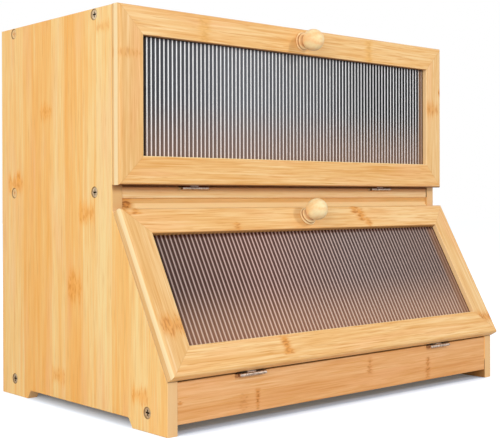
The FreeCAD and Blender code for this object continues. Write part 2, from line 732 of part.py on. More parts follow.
def door(which):
    """Every piece of one door and its hinges."""
    right = "overall_width"
    far = "overall_width - frame_width"
    inset = "frame_width"
    high = DOOR_HEIGHT
    inner_high = f"{DOOR_HEIGHT} - frame_width"
    door_height = size("overall_height") - size("shelf_top") - size("sill_gap")
    rail = "frame_width"
    members = {
        "bottom_rail": ([("0", "0"), (right, "0"), (far, inset), (inset, inset)],
                        lambda box: near(box.ZMax, 0),
                        lambda box: near(box.ZMin, size(rail)) and box.XLength > 1),
        "top_rail": ([(inset, inner_high), (far, inner_high), (right, high), ("0", high)],
                     lambda box: near(box.ZMin, door_height),
                     lambda box: near(box.ZMax, door_height - size(rail)) and box.XLength > 1),
        "left_stile": ([("0", "0"), (inset, inset), (inset, inner_high), ("0", high)],
                       lambda box: near(box.XMax, 0),
                       lambda box: near(box.XMin, size(rail)) and box.ZLength > 1),
        "right_stile": ([(right, "0"), (right, high), (far, inner_high), (far, inset)],
                        lambda box: near(box.XMin, size("overall_width")),
                        lambda box: near(box.XMax, size("overall_width") - size(rail)) and box.ZLength > 1),
    }
    knob_up = f"{DOOR_HEIGHT} - frame_width / 2"
    strike_places = [((across, "0", CATCH_HEIGHTS[which]), "-y") for across in MAGNET_COLUMNS]
    leaf_places = [((f"overall_width / 2 + {column} * hinge_spread", f"-{BARREL_PROUD}",
                     f"-{PIN_DROPS[which]}"), "+z") for column in (-1, 1)]
    leaf_screw_places = [
        ((f"overall_width / 2 + {column} * hinge_spread + {side} * leaf_hole_pitch / 2",
          "leaf_thickness", f"leaf_hole_reach - {PIN_DROPS[which]}"), "-y")
        for column in (-1, 1) for side in (-1, 1)
    ]
    tools = {
        "top_rail": [
            rod(f"{which}_strike_hole_{index}", "magnet_radius + screw_play", "magnet_length", at, towards)
            for index, (at, towards) in enumerate(strike_places)
        ] + [
            screw_hole(f"{which}_knob_hole", "knob_screw_radius", "knob_screw_head_radius",
                       "door_thickness", "knob_screw_sink", ("overall_width / 2", "0", knob_up), "-y")
        ],
        "bottom_rail": [
            rod(f"{which}_leaf_bore_{index}", "leaf_screw_radius + screw_play",
                "leaf_screw_length + screw_play", at, towards)
            for index, (at, towards) in enumerate(leaf_screw_places)
        ],
    }
    for name, (corners, outer_edge, inner_edge) in members.items():
        label = f"{which}_door_{name}"
        if name in tools:
            body = frame_member(f"{label}_board", corners, outer_edge, inner_edge)
            node(label, seat(cut(label, body, tools[name]), which))
        else:
            node(label, seat(frame_member(label, corners, outer_edge, inner_edge), which))
    node(f"{which}_door_window", seat(fluted_pane(f"{which}_door_window"), which))
    node(f"{which}_door_knob", seat(turned_knob(f"{which}_door_knob"), which, "overall_width / 2",
                                    "-door_thickness", knob_up, 90))
    screws = copies(f"{which}_door_knob_screw", knob_screw,
                    [(("overall_width / 2", "-knob_screw_sink", knob_up), "-y")])
    node(f"{which}_door_knob_screw", seat(screws, which))
    node(f"{which}_door_strike_magnets",
         seat(copies(f"{which}_door_strike_magnets", magnet, strike_places), which))
    node(f"{which}_hinge_door_leaves",
         seat(copies(f"{which}_hinge_door_leaves", door_leaf, leaf_places), which))
    node(f"{which}_hinge_door_screws",
         seat(copies(f"{which}_hinge_door_screws", leaf_screw, leaf_screw_places), which))
    pin_y, pin_z = PINS[which]
    pin_places = [((f"{column} * hinge_spread", pin_y, pin_z), "+z") for column in (-1, 1)]
    node(f"{which}_hinge_fixed_leaves", copies(f"{which}_hinge_fixed_leaves", fixed_leaf, pin_places))
    pin_group = copies(f"{which}_hinge_pins", hinge_pin, [
        ((f"{column} * hinge_spread - hinge_length / 2", pin_y, pin_z), "+x") for column in (-1, 1)
    ])
    node(f"{which}_hinge_pins", pin_group)
    node(f"{which}_hinge_fixed_screws", copies(f"{which}_hinge_fixed_screws", leaf_screw, [
        ((f"{column} * hinge_spread + {side} * leaf_hole_pitch / 2",
          f"{pin_y} + leaf_hole_reach", f"{pin_z} + barrel_radius"), "-z")
        for column in (-1, 1) for side in (-1, 1)
    ]))


for which in ("upper", "lower"):
    door(which)

# ---------------------------------------------------------------------------------------
# Checks and files
# ---------------------------------------------------------------------------------------
doc.recompute()
for item in doc.Objects:
    if "Invalid" in item.State or "Error" in item.State:
        raise RuntimeError(f"{item.Name} did not compute: {item.State}")
for item in nodes:
    if item.Shape.isNull() or not item.Shape.isValid():
        raise RuntimeError(f"{item.Label} has no valid shape")

os.makedirs("parts", exist_ok=True)
for item in nodes:
    item.Shape.exportStep(f"parts/{item.Label}.step")
    print(f"{item.Label}: {len(item.Shape.Solids)} solids, {item.Shape.Volume:.0f} mm3")
print(f"{len(nodes)} nodes")
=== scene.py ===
"""Looks of a two-tier bamboo bread box with two fold-down reeded doors.

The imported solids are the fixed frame, in metres: +Z is up, the doors face -Y and the width
runs along X. The boards, fasteners and hinges keep their solids and get their finishes here.
The reeded panes and the turned knobs are surfaces of this file, which stand for their solids.
Sizes are in millimetres, save places in the box's frame, the floor, the lamps and the camera,
which are in metres.

Node sockets go by number. Map Range reads its value at 0 and the stretch it comes from at 1
and 2, and gives the stretch at 3 and 4, which is 0 to 1 unless set. A colour Mix has its
share at 0, its colours at 6 and 7, and its result at 2.
"""

import logging
import math
from collections.abc import Sequence
from dataclasses import dataclass, field
from enum import Enum

import bpy
import numpy as np
from mathutils import Matrix


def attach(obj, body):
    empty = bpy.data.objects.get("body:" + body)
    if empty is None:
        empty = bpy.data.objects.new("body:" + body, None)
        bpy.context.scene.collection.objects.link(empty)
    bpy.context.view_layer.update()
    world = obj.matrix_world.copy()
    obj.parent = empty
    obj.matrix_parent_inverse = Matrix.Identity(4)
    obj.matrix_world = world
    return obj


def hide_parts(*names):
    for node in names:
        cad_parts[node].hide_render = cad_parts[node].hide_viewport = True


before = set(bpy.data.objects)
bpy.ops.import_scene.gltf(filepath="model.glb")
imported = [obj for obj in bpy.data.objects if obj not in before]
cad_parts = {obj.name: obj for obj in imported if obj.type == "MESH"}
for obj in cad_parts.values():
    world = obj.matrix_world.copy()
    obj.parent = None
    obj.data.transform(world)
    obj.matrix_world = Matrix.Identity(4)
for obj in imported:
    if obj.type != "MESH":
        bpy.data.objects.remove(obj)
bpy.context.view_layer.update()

LOG = logging.getLogger("bread_box")
MM = 0.001
SMOOTH = {"interpolation_type": "SMOOTHSTEP"}
LACQUER_IOR, ACRYLIC_IOR = 1.5, 1.49
Colour = tuple[float, float, float, float]
Tree = bpy.types.NodeTree
Sockets = Sequence[bpy.types.NodeSocket]
Signal = bpy.types.Node | bpy.types.NodeSocket
Layer = tuple[Signal, str]


# ---------------------------------------------------------------------------------------
# Axes and places
# ---------------------------------------------------------------------------------------
class Axis(Enum):
    """An axis of a piece's own frame, by its number."""

    X = 0
    Y = 1
    Z = 2


Window = tuple[Axis, float, float]


@dataclass(frozen=True)
class Place:
    """A piece's own frame: where its origin lies, in metres, and its turn about X."""

    origin: tuple[float, float, float] = (0.0, 0.0, 0.0)
    lean: float = 0.0


# ---------------------------------------------------------------------------------------
# Small tools: colours, nodes and meshes
# ---------------------------------------------------------------------------------------
def linear(hex_colour: str) -> Colour:
    """Turns an sRGB hex colour to linear RGBA.

    Args:
        hex_colour: six hex digits, such as "F3C07A".

    Returns:
        Red, green, blue and an alpha of 1.
    """
    parts = np.array([int(hex_colour[i:i + 2], 16) for i in (0, 2, 4)]) / 255.0
    curve = np.where(parts <= 0.04045, parts / 12.92, ((parts + 0.055) / 1.055) ** 2.4)
    return (*curve.tolist(), 1.0)


def add(tree: Tree, kind: str, inputs: dict | None = None,
        stops: Sequence[tuple[float, Colour]] = (), **settings: object) -> bpy.types.Node:
    """Adds a node to a tree.

    Args:
        tree: the node tree that gets it.
        kind: the node's type name, without its "ShaderNode" start.
        inputs: for each input socket's name or number, a value, an output socket to link, or
            a node, whose first output is linked.
        stops: a ramp's places from 0 to 1, in order, and their colours.
        settings: the node's own properties.

    Returns:
        The new node.
    """
    node = tree.nodes.new(f"ShaderNode{kind}")
    for name, value in settings.items():
        setattr(node, name, value)
    for key, value in (inputs or {}).items():
        if isinstance(value, bpy.types.Node):
            value = value.outputs[0]
        if isinstance(value, bpy.types.NodeSocket):
            tree.links.new(value, node.inputs[key])
        else:
            node.inputs[key].default_value = value
    if stops:
        elements = node.color_ramp.elements
        elements.remove(elements[1])
        for number, (position, colour) in enumerate(stops):
            element = elements.new(position) if number else elements[0]
            element.position, element.color = position, colour
    return node


def fresh_material(name: str) -> tuple[bpy.types.Material, Tree]:
    """Makes an empty node material.

    Args:
        name: the material's name.

    Returns:
        The material and its node tree.
    """
    material = bpy.data.materials.new(name)
    material.use_nodes = True
    material.node_tree.nodes.clear()
    return material, material.node_tree


def own_frame(tree: Tree, place: Place) -> bpy.types.Node:
    """Gives a point of a piece in the piece's own frame, in millimetres.

    Args:
        tree: the material's node tree.
        place: the piece's own frame.

    Returns:
        The node whose first output is the point.
    """
    where = add(tree, "TexCoord").outputs["Object"]
    return add(tree, "Mapping", {"Vector": where, "Location": place.origin, "Rotation": (place.lean, 0.0, 0.0),
                                 "Scale": (MM, MM, MM)}, vector_type="TEXTURE")


def layered(tree: Tree, colour: Signal, layers: Sequence[Layer]) -> Signal:
    """Lays flat colours over a colour.

    Args:
        tree: the material's node tree.
        colour: the colour at the bottom.
        layers: for each from the bottom up, its share from 0 to 1 and its hex colour.

    Returns:
        The colour seen.
    """
    for share, tone in layers:
        colour = add(tree, "Mix", {0: share, 6: colour, 7: linear(tone)}, data_type="RGBA").outputs[2]
    return colour


def windowed(tree: Tree, share: Signal | float, parts: Sockets, windows: Sequence[Window]) -> Signal | float:
    """Keeps a share to where all its windows are open.

    Args:
        tree: the material's node tree.
        share: what to keep, from 0 to 1.
        parts: a point's X, Y and Z in the piece's own frame.
        windows: for each, an axis, the place on it where the window is still shut and the
            place from which it is open.

    Returns:
        The share, which is 0 outside the windows.
    """
    for axis, shut, clear in windows:
        near = add(tree, "MapRange", {0: parts[axis.value], 1: shut, 2: clear})
        share = add(tree, "Math", {0: share, 1: near}, operation="MULTIPLY")
    return share


def dress(piece: bpy.types.Object | str, material: bpy.types.Material) -> None:
    """Gives every face of a piece one material through its slots, and reports the piece.

    Args:
        piece: a piece made here, or the name of a solid's node.
        material: the finish.
    """
    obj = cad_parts[piece] if isinstance(piece, str) else piece
    if obj.material_slots:
        for slot in obj.material_slots:
            slot.material = material
    else:
        obj.data.materials.append(material)
    LOG.info("%s: %s", obj.name, material.name)


def placed(name: str, data: bpy.types.ID, turn: Matrix | None = None) -> bpy.types.Object:
    """Puts a mesh, a light or a camera into the scene.

    Args:
        name: the object's name.
        data: what it holds.
        turn: its place and turn, if it isn't at the origin.

    Returns:
        The object.
    """
    obj = bpy.data.objects.new(name, data)
    if turn is not None:
        obj.matrix_world = turn
    bpy.context.scene.collection.objects.link(obj)
    return obj


def surface(name: str, rings: np.ndarray, sharp_deg: float = 35.0) -> bpy.types.Object:
    """Makes a closed mesh from rings of points, carried along a path.

    Each ring is joined to the next by quads, and the first and last are closed by a face.

    Args:
        name: the object's name.
        rings: an array of rings by points by 3, in metres. Seen along the path, each ring
            runs clockwise, which turns the faces outwards.
        sharp_deg: edges that turn by more than this many degrees stay sharp.

    Returns:
        The object, at the origin.
    """
    count, around = rings.shape[:2]
    index = np.arange(count * around).reshape(count, around)
    following = np.roll(index, -1, axis=1)
    sides = np.stack([index[:-1], following[:-1], following[1:], index[1:]], axis=-1).reshape(-1, 4)
    faces = sides.tolist() + [index[0][::-1].tolist(), index[-1].tolist()]
    mesh = bpy.data.meshes.new(name)
    mesh.from_pydata(rings.reshape(-1, 3).tolist(), [], faces)
    mesh.polygons.foreach_set("use_smooth", np.ones(len(faces), bool))
    mesh.set_sharp_from_angle(angle=math.radians(sharp_deg))
    mesh.validate()
    return placed(name, mesh)


# ---------------------------------------------------------------------------------------
# Bamboo
# ---------------------------------------------------------------------------------------
@dataclass(frozen=True)
class Streak:
    """Noise drawn out along the grain, as split cane is.

    It has a width and length, and wanders a little from straight. Only the stretch of the
    noise from low to high counts.
    """

    width: float
    length: float
    detail: float
    wander: float = 0.25
    low: float = 0.3
    high: float = 0.7
    raggedness: float = 0.6

    @property
    def stretch(self) -> dict[int, float]:
        """The stretch of the noise that counts, as inputs of a Map Range."""
        return {1: self.low, 2: self.high}

    def noise(self, tree: Tree, point: Signal, shift: Signal) -> bpy.types.Node:
        """Draws the noise.

        Args:
            tree: the material's node tree.
            point: a point's place, with its Z along the grain.
            shift: how far the noise is moved on, which differs from stave to stave.

        Returns:
            The noise.
        """
        scale = (1 / self.width, 1 / self.width, 1 / self.length)
        drawn_out = add(tree, "VectorMath", {0: point, 1: scale}, operation="MULTIPLY")
        return add(tree, "TexNoise", {"Vector": drawn_out, "W": shift, "Scale": 1.0, "Detail": self.detail,
                                      "Roughness": self.raggedness, "Distortion": self.wander},
                   noise_dimensions="4D")


# Cane's fibre bundles are about half a millimetre wide. They are drawn two to three times as
# wide, since finer ones don't show at the size at which the whole box is seen.
FIBRES = Streak(1.3, 55.0, 3.0)
VEINS = Streak(1.0, 32.0, 1.5, 0.6, 0.54, 0.68)
CLOUDS = Streak(6.5, 160.0, 2.0)
BLUSH = Streak(14.0, 90.0, 1.0, low=0.5, high=0.68)
# At a cane's joint, the flush runs out along split fibres, and short ticks stand in it.
SPLITS = Streak(2.0, 60.0, 1.0, 0.1, 0.35, 0.65)
TICKS = Streak(1.7, 6.0, 1.0, 0.4, 0.47, 0.62)

# How much the clouds shift the tone, and how full the blush gets.
CLOUD_DEPTH, BLUSH_DEPTH = 0.28, 0.32
# How far, in half heights, the split fibres carry a knot's flush on and hold it back.
SPLIT_REACH = (-0.35, 0.5)
# Where a knot ends and where it is full, as shares of its half width or half height.
KNOT_SIDES, KNOT_FLUSH, KNOT_TICKS = (1.05, 0.72), (1.35, 0.25), (0.9, 0.3)
# How full the colour of a sawn edge, the painted shade round a countersunk hole or a reveal gets.
EDGE_SHARE = 0.85
# Neighbouring staves read the noise this many units apart for a full step of tone.
TONE_SHIFT = 531.0
# The ramp of the staves' tones ends this far beyond the last stave's start.
LAST_STAVE = 30.0


@dataclass(frozen=True)
class Knot:
    """The mark that a cane's joint leaves in one stave.

    It lies at (across, along) of the board's own frame and has a half width and half height.
    """

    across: float
    along: float
    half_width: float = 11.0
    half_height: float = 8.0
    strength: float = 0.7


@dataclass(frozen=True)
class Band:
    """A soft stripe of another colour on a board, mostly painted shade or painted light, such as
    the shadow under a door's foot.

    Along one axis of the board's own frame, it sets in at one place and reaches its full
    strength at another. Windows can keep it to one face or stretch.
    """

    axis: Axis
    start: float
    full: float
    colour: str
    strength: float = 0.9
    windows: tuple[Window, ...] = ()


@dataclass(frozen=True)
class Bamboo:
    """Laminated bamboo under clear satin lacquer.

    Split canes are planed to staves and glued side by side, so a board shows bands of
    slightly different honey tones and fine straight fibres. Where a cane had a joint, short
    brown ticks stand in an amber flush. The lacquer leaves a soft, wide gloss. The sawn edge
    between two faces is paler, and painted shade darkens the rim of a countersunk hole.

    A stave is its start and its tone, and a sink the middle of a countersunk hole. Where a
    board's edges are sawn, sawn is the middle of its thickness along X and half of it. The
    relief is the depth of the fibres.
    """

    name: str
    grain: Axis
    across: Axis
    place: Place = Place()
    staves: tuple[tuple[float, float], ...] = ((0.0, 0.5),)
    knots: tuple[Knot, ...] = ()
    sinks: tuple[tuple[float, float], ...] = ()
    sink_rim: tuple[float, float] = (5.0, 4.3)
    sawn: tuple[float, float] | None = None
    arris: float = 0.7
    bands: tuple[Band, ...] = ()
    fibre: float = 0.5
    veins: float = 0.35
    deep: str = "FBB558"
    middle: str = "FEC878"
    pale: str = "FFDD9A"
    rosy: str = "FBC08C"
    flush: str = "FCAE4A"
    mark: str = "E6902C"
    vein: str = "DE9A4A"
    edge: str = "ECC28D"
    # The colour of the painted shade round each countersunk hole.
    sink_shade: str = "65400F"
    roughness: float = 0.42
    roughness_spread: tuple[float, float] = (-0.05, 0.06)
    gloss: float = 0.28
    relief_strength: float = 0.12
    relief: float = 0.12
    seed: float = 0.0

    def material(self) -> bpy.types.Material:
        """Builds the node material.

        Returns:
            The material, which reads Object coordinates.
        """
        material, tree = fresh_material(self.name)
        parts = add(tree, "SeparateXYZ", {0: own_frame(tree, self.place)}).outputs
        depth_axis = ({0, 1, 2} - {self.grain.value, self.across.value}).pop()
        across, along, depth = parts[self.across.value], parts[self.grain.value], parts[depth_axis]
        tone = self._stave_tone(tree, across)
        shift = add(tree, "Math", {0: tone, 1: TONE_SHIFT, 2: self.seed}, operation="MULTIPLY_ADD")
        flat = add(tree, "CombineXYZ", {0: across, 1: depth, 2: along})
        fine, broad, blush, vein = (streak.noise(tree, flat, shift) for streak in (FIBRES, CLOUDS, BLUSH, VEINS))
        fibre = add(tree, "MapRange", {0: fine, **FIBRES.stretch, 3: -self.fibre, 4: self.fibre})
        cloud = add(tree, "MapRange", {0: broad, **CLOUDS.stretch, 3: -CLOUD_DEPTH, 4: CLOUD_DEPTH})
        level = add(tree, "Math", {0: fibre, 1: cloud}, operation="ADD")
        level = add(tree, "Math", {0: level, 1: tone}, operation="ADD", use_clamp=True)
        wood = add(tree, "ValToRGB", {0: level},
                   ((0.0, linear(self.deep)), (0.5, linear(self.middle)), (1.0, linear(self.pale))))
        layers = [(add(tree, "MapRange", {0: blush, **BLUSH.stretch, 4: BLUSH_DEPTH}), self.rosy),
                  (add(tree, "MapRange", {0: vein, **VEINS.stretch, 4: self.veins}), self.vein)]
        if self.knots:
            split, tick = (streak.noise(tree, flat, shift) for streak in (SPLITS, TICKS))
            ragged = add(tree, "MapRange", {0: split, **SPLITS.stretch, 3: SPLIT_REACH[0], 4: SPLIT_REACH[1]})
            flushed, ticked = self._knot_masks(tree, across, along, ragged)
            tick = add(tree, "MapRange", {0: tick, **TICKS.stretch})
            ticked = add(tree, "Math", {0: ticked, 1: tick}, operation="MULTIPLY")
            layers += [(flushed, self.flush), (ticked, self.mark)]
        colour = layered(tree, wood, layers + self.edge_layers(tree, parts))

        bump = add(tree, "Bump", {"Strength": self.relief_strength, "Distance": self.relief * MM, "Height": fine})
        smoothest, roughest = (self.roughness + part for part in self.roughness_spread)
        rough = add(tree, "MapRange", {0: broad, **CLOUDS.stretch, 3: smoothest, 4: roughest})
        shader = add(tree, "BsdfPrincipled", {"Base Color": colour, "Roughness": rough, "Normal": bump,
                                              "IOR": LACQUER_IOR, "Specular IOR Level": self.gloss})
        add(tree, "OutputMaterial", {0: shader})
        return material

    def _stave_tone(self, tree: Tree, across: Signal) -> bpy.types.Node:
        """Gives each stave its tone, as a stepped ramp over the board's width.

        Args:
            tree: the material's node tree.
            across: a point's place across the staves.

        Returns:
            The tone, from 0, deep, to 1, pale.
        """
        first, last = self.staves[0][0], self.staves[-1][0] + LAST_STAVE
        part = add(tree, "MapRange", {0: across, 1: first, 2: last})
        steps = add(tree, "ValToRGB", {0: part}, [((start - first) / (last - first), (tone, tone, tone, 1.0))
                                                  for start, tone in self.staves])
        steps.color_ramp.interpolation = "CONSTANT"
        return steps

    def _knot_masks(self, tree: Tree, across: Signal, along: Signal, ragged: Signal) -> list[Signal | float]:
        """Finds the strongest of the knots at a point.

        A knot is as wide as its stave. Its height is measured in half heights, plus a ragged
        part, by which its ends run out along the fibres.

        Args:
            tree: the material's node tree.
            across: a point's place across the staves.
            along: its place along the grain.
            ragged: how far the flush falls short of the knot's end there, in half heights.

        Returns:
            The mask of the flush and that of the ticks in its middle.
        """
        flat = add(tree, "CombineXYZ", {0: across, 1: along})
        masks: list[Signal | float] = [0.0, 0.0]
        for knot in self.knots:
            centre, halves = (knot.across, knot.along, 0.0), (knot.half_width, knot.half_height, 1.0)
            away = add(tree, "VectorMath", {0: flat, 1: centre}, operation="SUBTRACT")
            away = add(tree, "VectorMath", {0: away}, operation="ABSOLUTE")
            away = add(tree, "VectorMath", {0: away, 1: halves}, operation="DIVIDE")
            side, far = add(tree, "SeparateXYZ", {0: away}).outputs[:2]
            far = add(tree, "Math", {0: far, 1: ragged}, operation="ADD")
            inside = add(tree, "MapRange", {0: side, 1: KNOT_SIDES[0], 2: KNOT_SIDES[1], 4: knot.strength},
                         **SMOOTH)
            for number, (end, full) in enumerate((KNOT_FLUSH, KNOT_TICKS)):
                level = add(tree, "MapRange", {0: far, 1: end, 2: full}, **SMOOTH)
                level = add(tree, "Math", {0: inside, 1: level}, operation="MULTIPLY")
                masks[number] = add(tree, "Math", {0: masks[number], 1: level}, operation="MAXIMUM")
        return masks

    def _band_layers(self, tree: Tree, parts: Sockets) -> list[Layer]:
        """Works out where each of the board's bands shows.

        Args:
            tree: the material's node tree.
            parts: a point's X, Y and Z in the board's own frame.

        Returns:
            The bands' layers.
        """
        layers = []
        for band in self.bands:
            share = add(tree, "MapRange", {0: parts[band.axis.value], 1: band.start, 2: band.full,
                                           4: band.strength})
            layers.append((windowed(tree, share, parts, band.windows), band.colour))
        return layers

    def edge_layers(self, tree: Tree, parts: Sockets) -> list[Layer]:
        """Works out the pale sawn edges, the bands and the painted shade round each countersunk hole.

        Args:
            tree: the material's node tree.
            parts: a point's X, Y and Z in the board's own frame.

        Returns:
            Their layers.
        """
        layers = []
        if self.sawn:
            middle, half = self.sawn
            depth = add(tree, "Math", {0: parts[Axis.X.value], 1: middle}, operation="SUBTRACT")
            depth = add(tree, "Math", {0: depth}, operation="ABSOLUTE")
            share = add(tree, "MapRange", {0: depth, 1: half, 2: half - self.arris, 4: EDGE_SHARE}, **SMOOTH)
            layers.append((share, self.edge))
        layers += self._band_layers(tree, parts)
        flat = add(tree, "CombineXYZ", {0: parts[self.across.value], 1: parts[self.grain.value]})
        # Painted shade round each countersunk hole, in the gap beside the screw's head.
        outside, inside = self.sink_rim
        for sink in self.sinks:
            far = add(tree, "VectorMath", {0: flat, 1: (*sink, 0.0)}, operation="DISTANCE").outputs["Value"]
            rim = add(tree, "MapRange", {0: far, 1: outside, 2: inside, 4: EDGE_SHARE}, **SMOOTH)
            layers.append((rim, self.sink_shade))
        return layers


@dataclass(frozen=True)
class Echo:
    """Where the reeds of a pane show in the lacquer of a reveal.

    The first crest and the pitch run along X. Gaps are shares of a pitch from the crest, and
    depth is measured from the face, each from where the echo is faint to where it is full.
    """

    first_crest: float
    pitch: float
    gap: tuple[float, float] = (0.12, 0.34)
    depth: tuple[float, float] = (1.0, 4.5)
    strength: float = 0.8


@dataclass(frozen=True)
class FrameBamboo(Bamboo):
    """Bamboo of a mitred frame member: a thin glue line in the mitres, a pale strip of painted
    highlight on the outer side, and a reveal painted pale as light or brown as shade.

    The frame's outside is its width and height. Each pair of places, such as the glue line's,
    runs from where the colour sets in to where it is full. The strip's pairs, measured from
    the face, keep the painted highlight to a part of the frame's outer side.
    """

    outside: tuple[float, float] = (400.0, 143.5)
    member_width: float = 23.5
    face: float = -10.0
    fibre: float = 0.5
    veins: float = 0.55
    deep: str = "E6A85C"
    middle: str = "F2BF7B"
    pale: str = "FAD49A"
    roughness: float = 0.4
    glue: str = "C98A48"
    glue_line: tuple[float, float] = (0.8, 0.25)
    glue_share: float = 0.2
    edge_highlight_tone: str = "FFE2AC"
    edge_highlight_share: float = 0.0
    edge_highlight_span: tuple[float, float] = (1.6, 0.5)
    strip: tuple[tuple[float, float], ...] = ((7.9, 6.9), (1.5, 3.0))
    reveal: str = "FFE6AE"
    reveal_edge: tuple[float, float] = (0.8, 0.2)
    flush: str = "E8A04C"
    mark: str = "C87E34"
    echo: Echo | None = None
    echo_tone: str = "4A200C"

    def edge_layers(self, tree: Tree, parts: Sockets) -> list[Layer]:
        """Works out the glue line of the mitres, the painted highlight on the outer edge, the painted reveal and
        the bands.

        A mitre lies where a point is equally far from two sides of the frame.

        Args:
            tree: the material's node tree.
            parts: a point's X, Y and Z in the member's own frame.

        Returns:
            Their layers.
        """
        wide, deep, high = parts[:3]
        distances = []
        for part, whole in ((wide, self.outside[0]), (high, self.outside[1])):
            other = add(tree, "Math", {0: whole, 1: part}, operation="SUBTRACT")
            distances.append(add(tree, "Math", {0: part, 1: other}, operation="MINIMUM"))
        apart = add(tree, "Math", {0: distances[0], 1: distances[1]}, operation="SUBTRACT")
        apart = add(tree, "Math", {0: apart}, operation="ABSOLUTE")
        line = add(tree, "MapRange", {0: apart, 1: self.glue_line[0], 2: self.glue_line[1],
                                      4: self.glue_share}, **SMOOTH)
        inset = add(tree, "Math", {0: distances[0], 1: distances[1]}, operation="MINIMUM")
        # A pale strip of painted highlight along the frame's outer edge.
        outer = add(tree, "MapRange", {0: inset, 1: self.edge_highlight_span[0], 2: self.edge_highlight_span[1],
                                       4: self.edge_highlight_share}, **SMOOTH)
        for start, full in self.strip:
            part = add(tree, "MapRange", {0: deep, 1: self.face + start, 2: self.face + full}, **SMOOTH)
            outer = add(tree, "Math", {0: outer, 1: part}, operation="MULTIPLY")
        # The reveal of the opening, painted pale as light on some members and brown as shade on the top rails.
        inner = add(tree, "MapRange", {0: inset, 1: self.member_width - self.reveal_edge[0],
                                       2: self.member_width - self.reveal_edge[1], 4: EDGE_SHARE}, **SMOOTH)
        layers = [(line, self.glue), (outer, self.edge_highlight_tone), (inner, self.reveal)]
        if self.echo:
            layers.append((self._echoed(tree, self.echo, wide, deep, inner), self.echo_tone))
        return layers + self._band_layers(tree, parts)

    def _echoed(self, tree: Tree, echo: Echo, wide: Signal, deep: Signal, inner: Signal) -> bpy.types.Node:
        """Mirrors the pane's dark gaps in the lacquer of the reveal.

        Args:
            tree: the material's node tree.
            echo: the reeds' places.
            wide: a point's place along X.
            deep: its place along Y.
            inner: the share of the reveal.

        Returns:
            The share of the echo.
        """
        reeds = add(tree, "Math", {0: wide, 1: echo.first_crest}, operation="SUBTRACT")
        reeds = add(tree, "Math", {0: reeds, 1: echo.pitch}, operation="DIVIDE")
        reeds = add(tree, "Math", {0: reeds, 1: 0.5}, operation="PINGPONG")
        gap = add(tree, "MapRange", {0: reeds, 1: echo.gap[0], 2: echo.gap[1], 4: echo.strength})
        set_back = add(tree, "MapRange", {0: deep, 1: self.face + echo.depth[0], 2: self.face + echo.depth[1]})
        gap = add(tree, "Math", {0: gap, 1: set_back}, operation="MULTIPLY")
        return add(tree, "Math", {0: gap, 1: inner}, operation="MULTIPLY")


# ---------------------------------------------------------------------------------------
# Turned wood, acrylic and metal
# ---------------------------------------------------------------------------------------
@dataclass(frozen=True)
class TurnedWood:
    """Pale wood turned on a lathe, smoothed with sandpaper and lacquered.

    The grain runs along the turning's axis, so the ball shows faint rings on its front and
    long soft streaks round its sides. Painted shade darkens the grooves, each a place on the
    axis and a half width.
    """

    name: str
    place: Place
    deep: str = "FAC688"
    pale: str = "FFE3AC"
    roughness: float = 0.38
    grooves: tuple[tuple[float, float], ...] = ()
    # The colour of the painted shade in the grooves.
    groove: str = "B0682A"
    groove_share: float = 0.7
    groove_core: float = 0.3
    fibre_size: tuple[float, float, float] = (1.6, 26.0, 1.6)
    ring_size: tuple[float, float, float] = (9.0, 60.0, 5.0)
    ring_density: float = 0.32
    ring_share: float = 0.35
    tone_stops: tuple[float, float] = (0.2, 0.75)
    gloss: float = 0.3
    relief_strength: float = 0.1
    relief: float = 0.1

    def material(self) -> bpy.types.Material:
        """Builds the node material.

        Returns:
            The material, which reads Object coordinates.
        """
        material, tree = fresh_material(self.name)
        own = own_frame(tree, self.place)
        long_grain, wide = (add(tree, "VectorMath", {0: own, 1: tuple(1 / part for part in size)},
                                operation="MULTIPLY") for size in (self.fibre_size, self.ring_size))
        fibres = add(tree, "TexNoise", {"Vector": long_grain, "Scale": 1.0, "Detail": 3.0})
        rings = add(tree, "TexWave", {"Vector": wide, "Scale": self.ring_density, "Distortion": 3.0, "Detail": 2.0},
                    wave_type="RINGS", rings_direction="Y").outputs[1]
        blend = add(tree, "Mix", {0: self.ring_share, 2: fibres, 3: rings}, data_type="FLOAT")
        wood = add(tree, "ValToRGB", {0: blend}, [(stop, linear(tone)) for stop, tone in
                                                  zip(self.tone_stops, (self.deep, self.pale))])
        reach = add(tree, "SeparateXYZ", {0: own}).outputs[1]
        layers = []
        # Painted shade in each groove.
        for middle, half in self.grooves:
            away = add(tree, "Math", {0: reach, 1: middle}, operation="SUBTRACT")
            away = add(tree, "Math", {0: away}, operation="ABSOLUTE")
            layers.append((add(tree, "MapRange", {0: away, 1: half, 2: half * self.groove_core,
                                                  4: self.groove_share}), self.groove))
        bump = add(tree, "Bump", {"Strength": self.relief_strength, "Distance": self.relief * MM,
                                  "Height": fibres})
        shader = add(tree, "BsdfPrincipled", {"Base Color": layered(tree, wood, layers), "Normal": bump,
                                              "Roughness": self.roughness, "IOR": LACQUER_IOR,
                                              "Specular IOR Level": self.gloss})
        add(tree, "OutputMaterial", {0: shader})
        return material


@dataclass(frozen=True)
class Rim:
    """A band on a pane beside its frame, painted with the frame's shadow, and at the far side with
    a reflection of the wood: its width, strength, softness and colour.

    The pale lines take on the strength of `lines` only.
    """

    width: float
    strength: float = 0.92
    softness: float = 0.25
    colour: str = "24150B"
    lines: float = 0.92


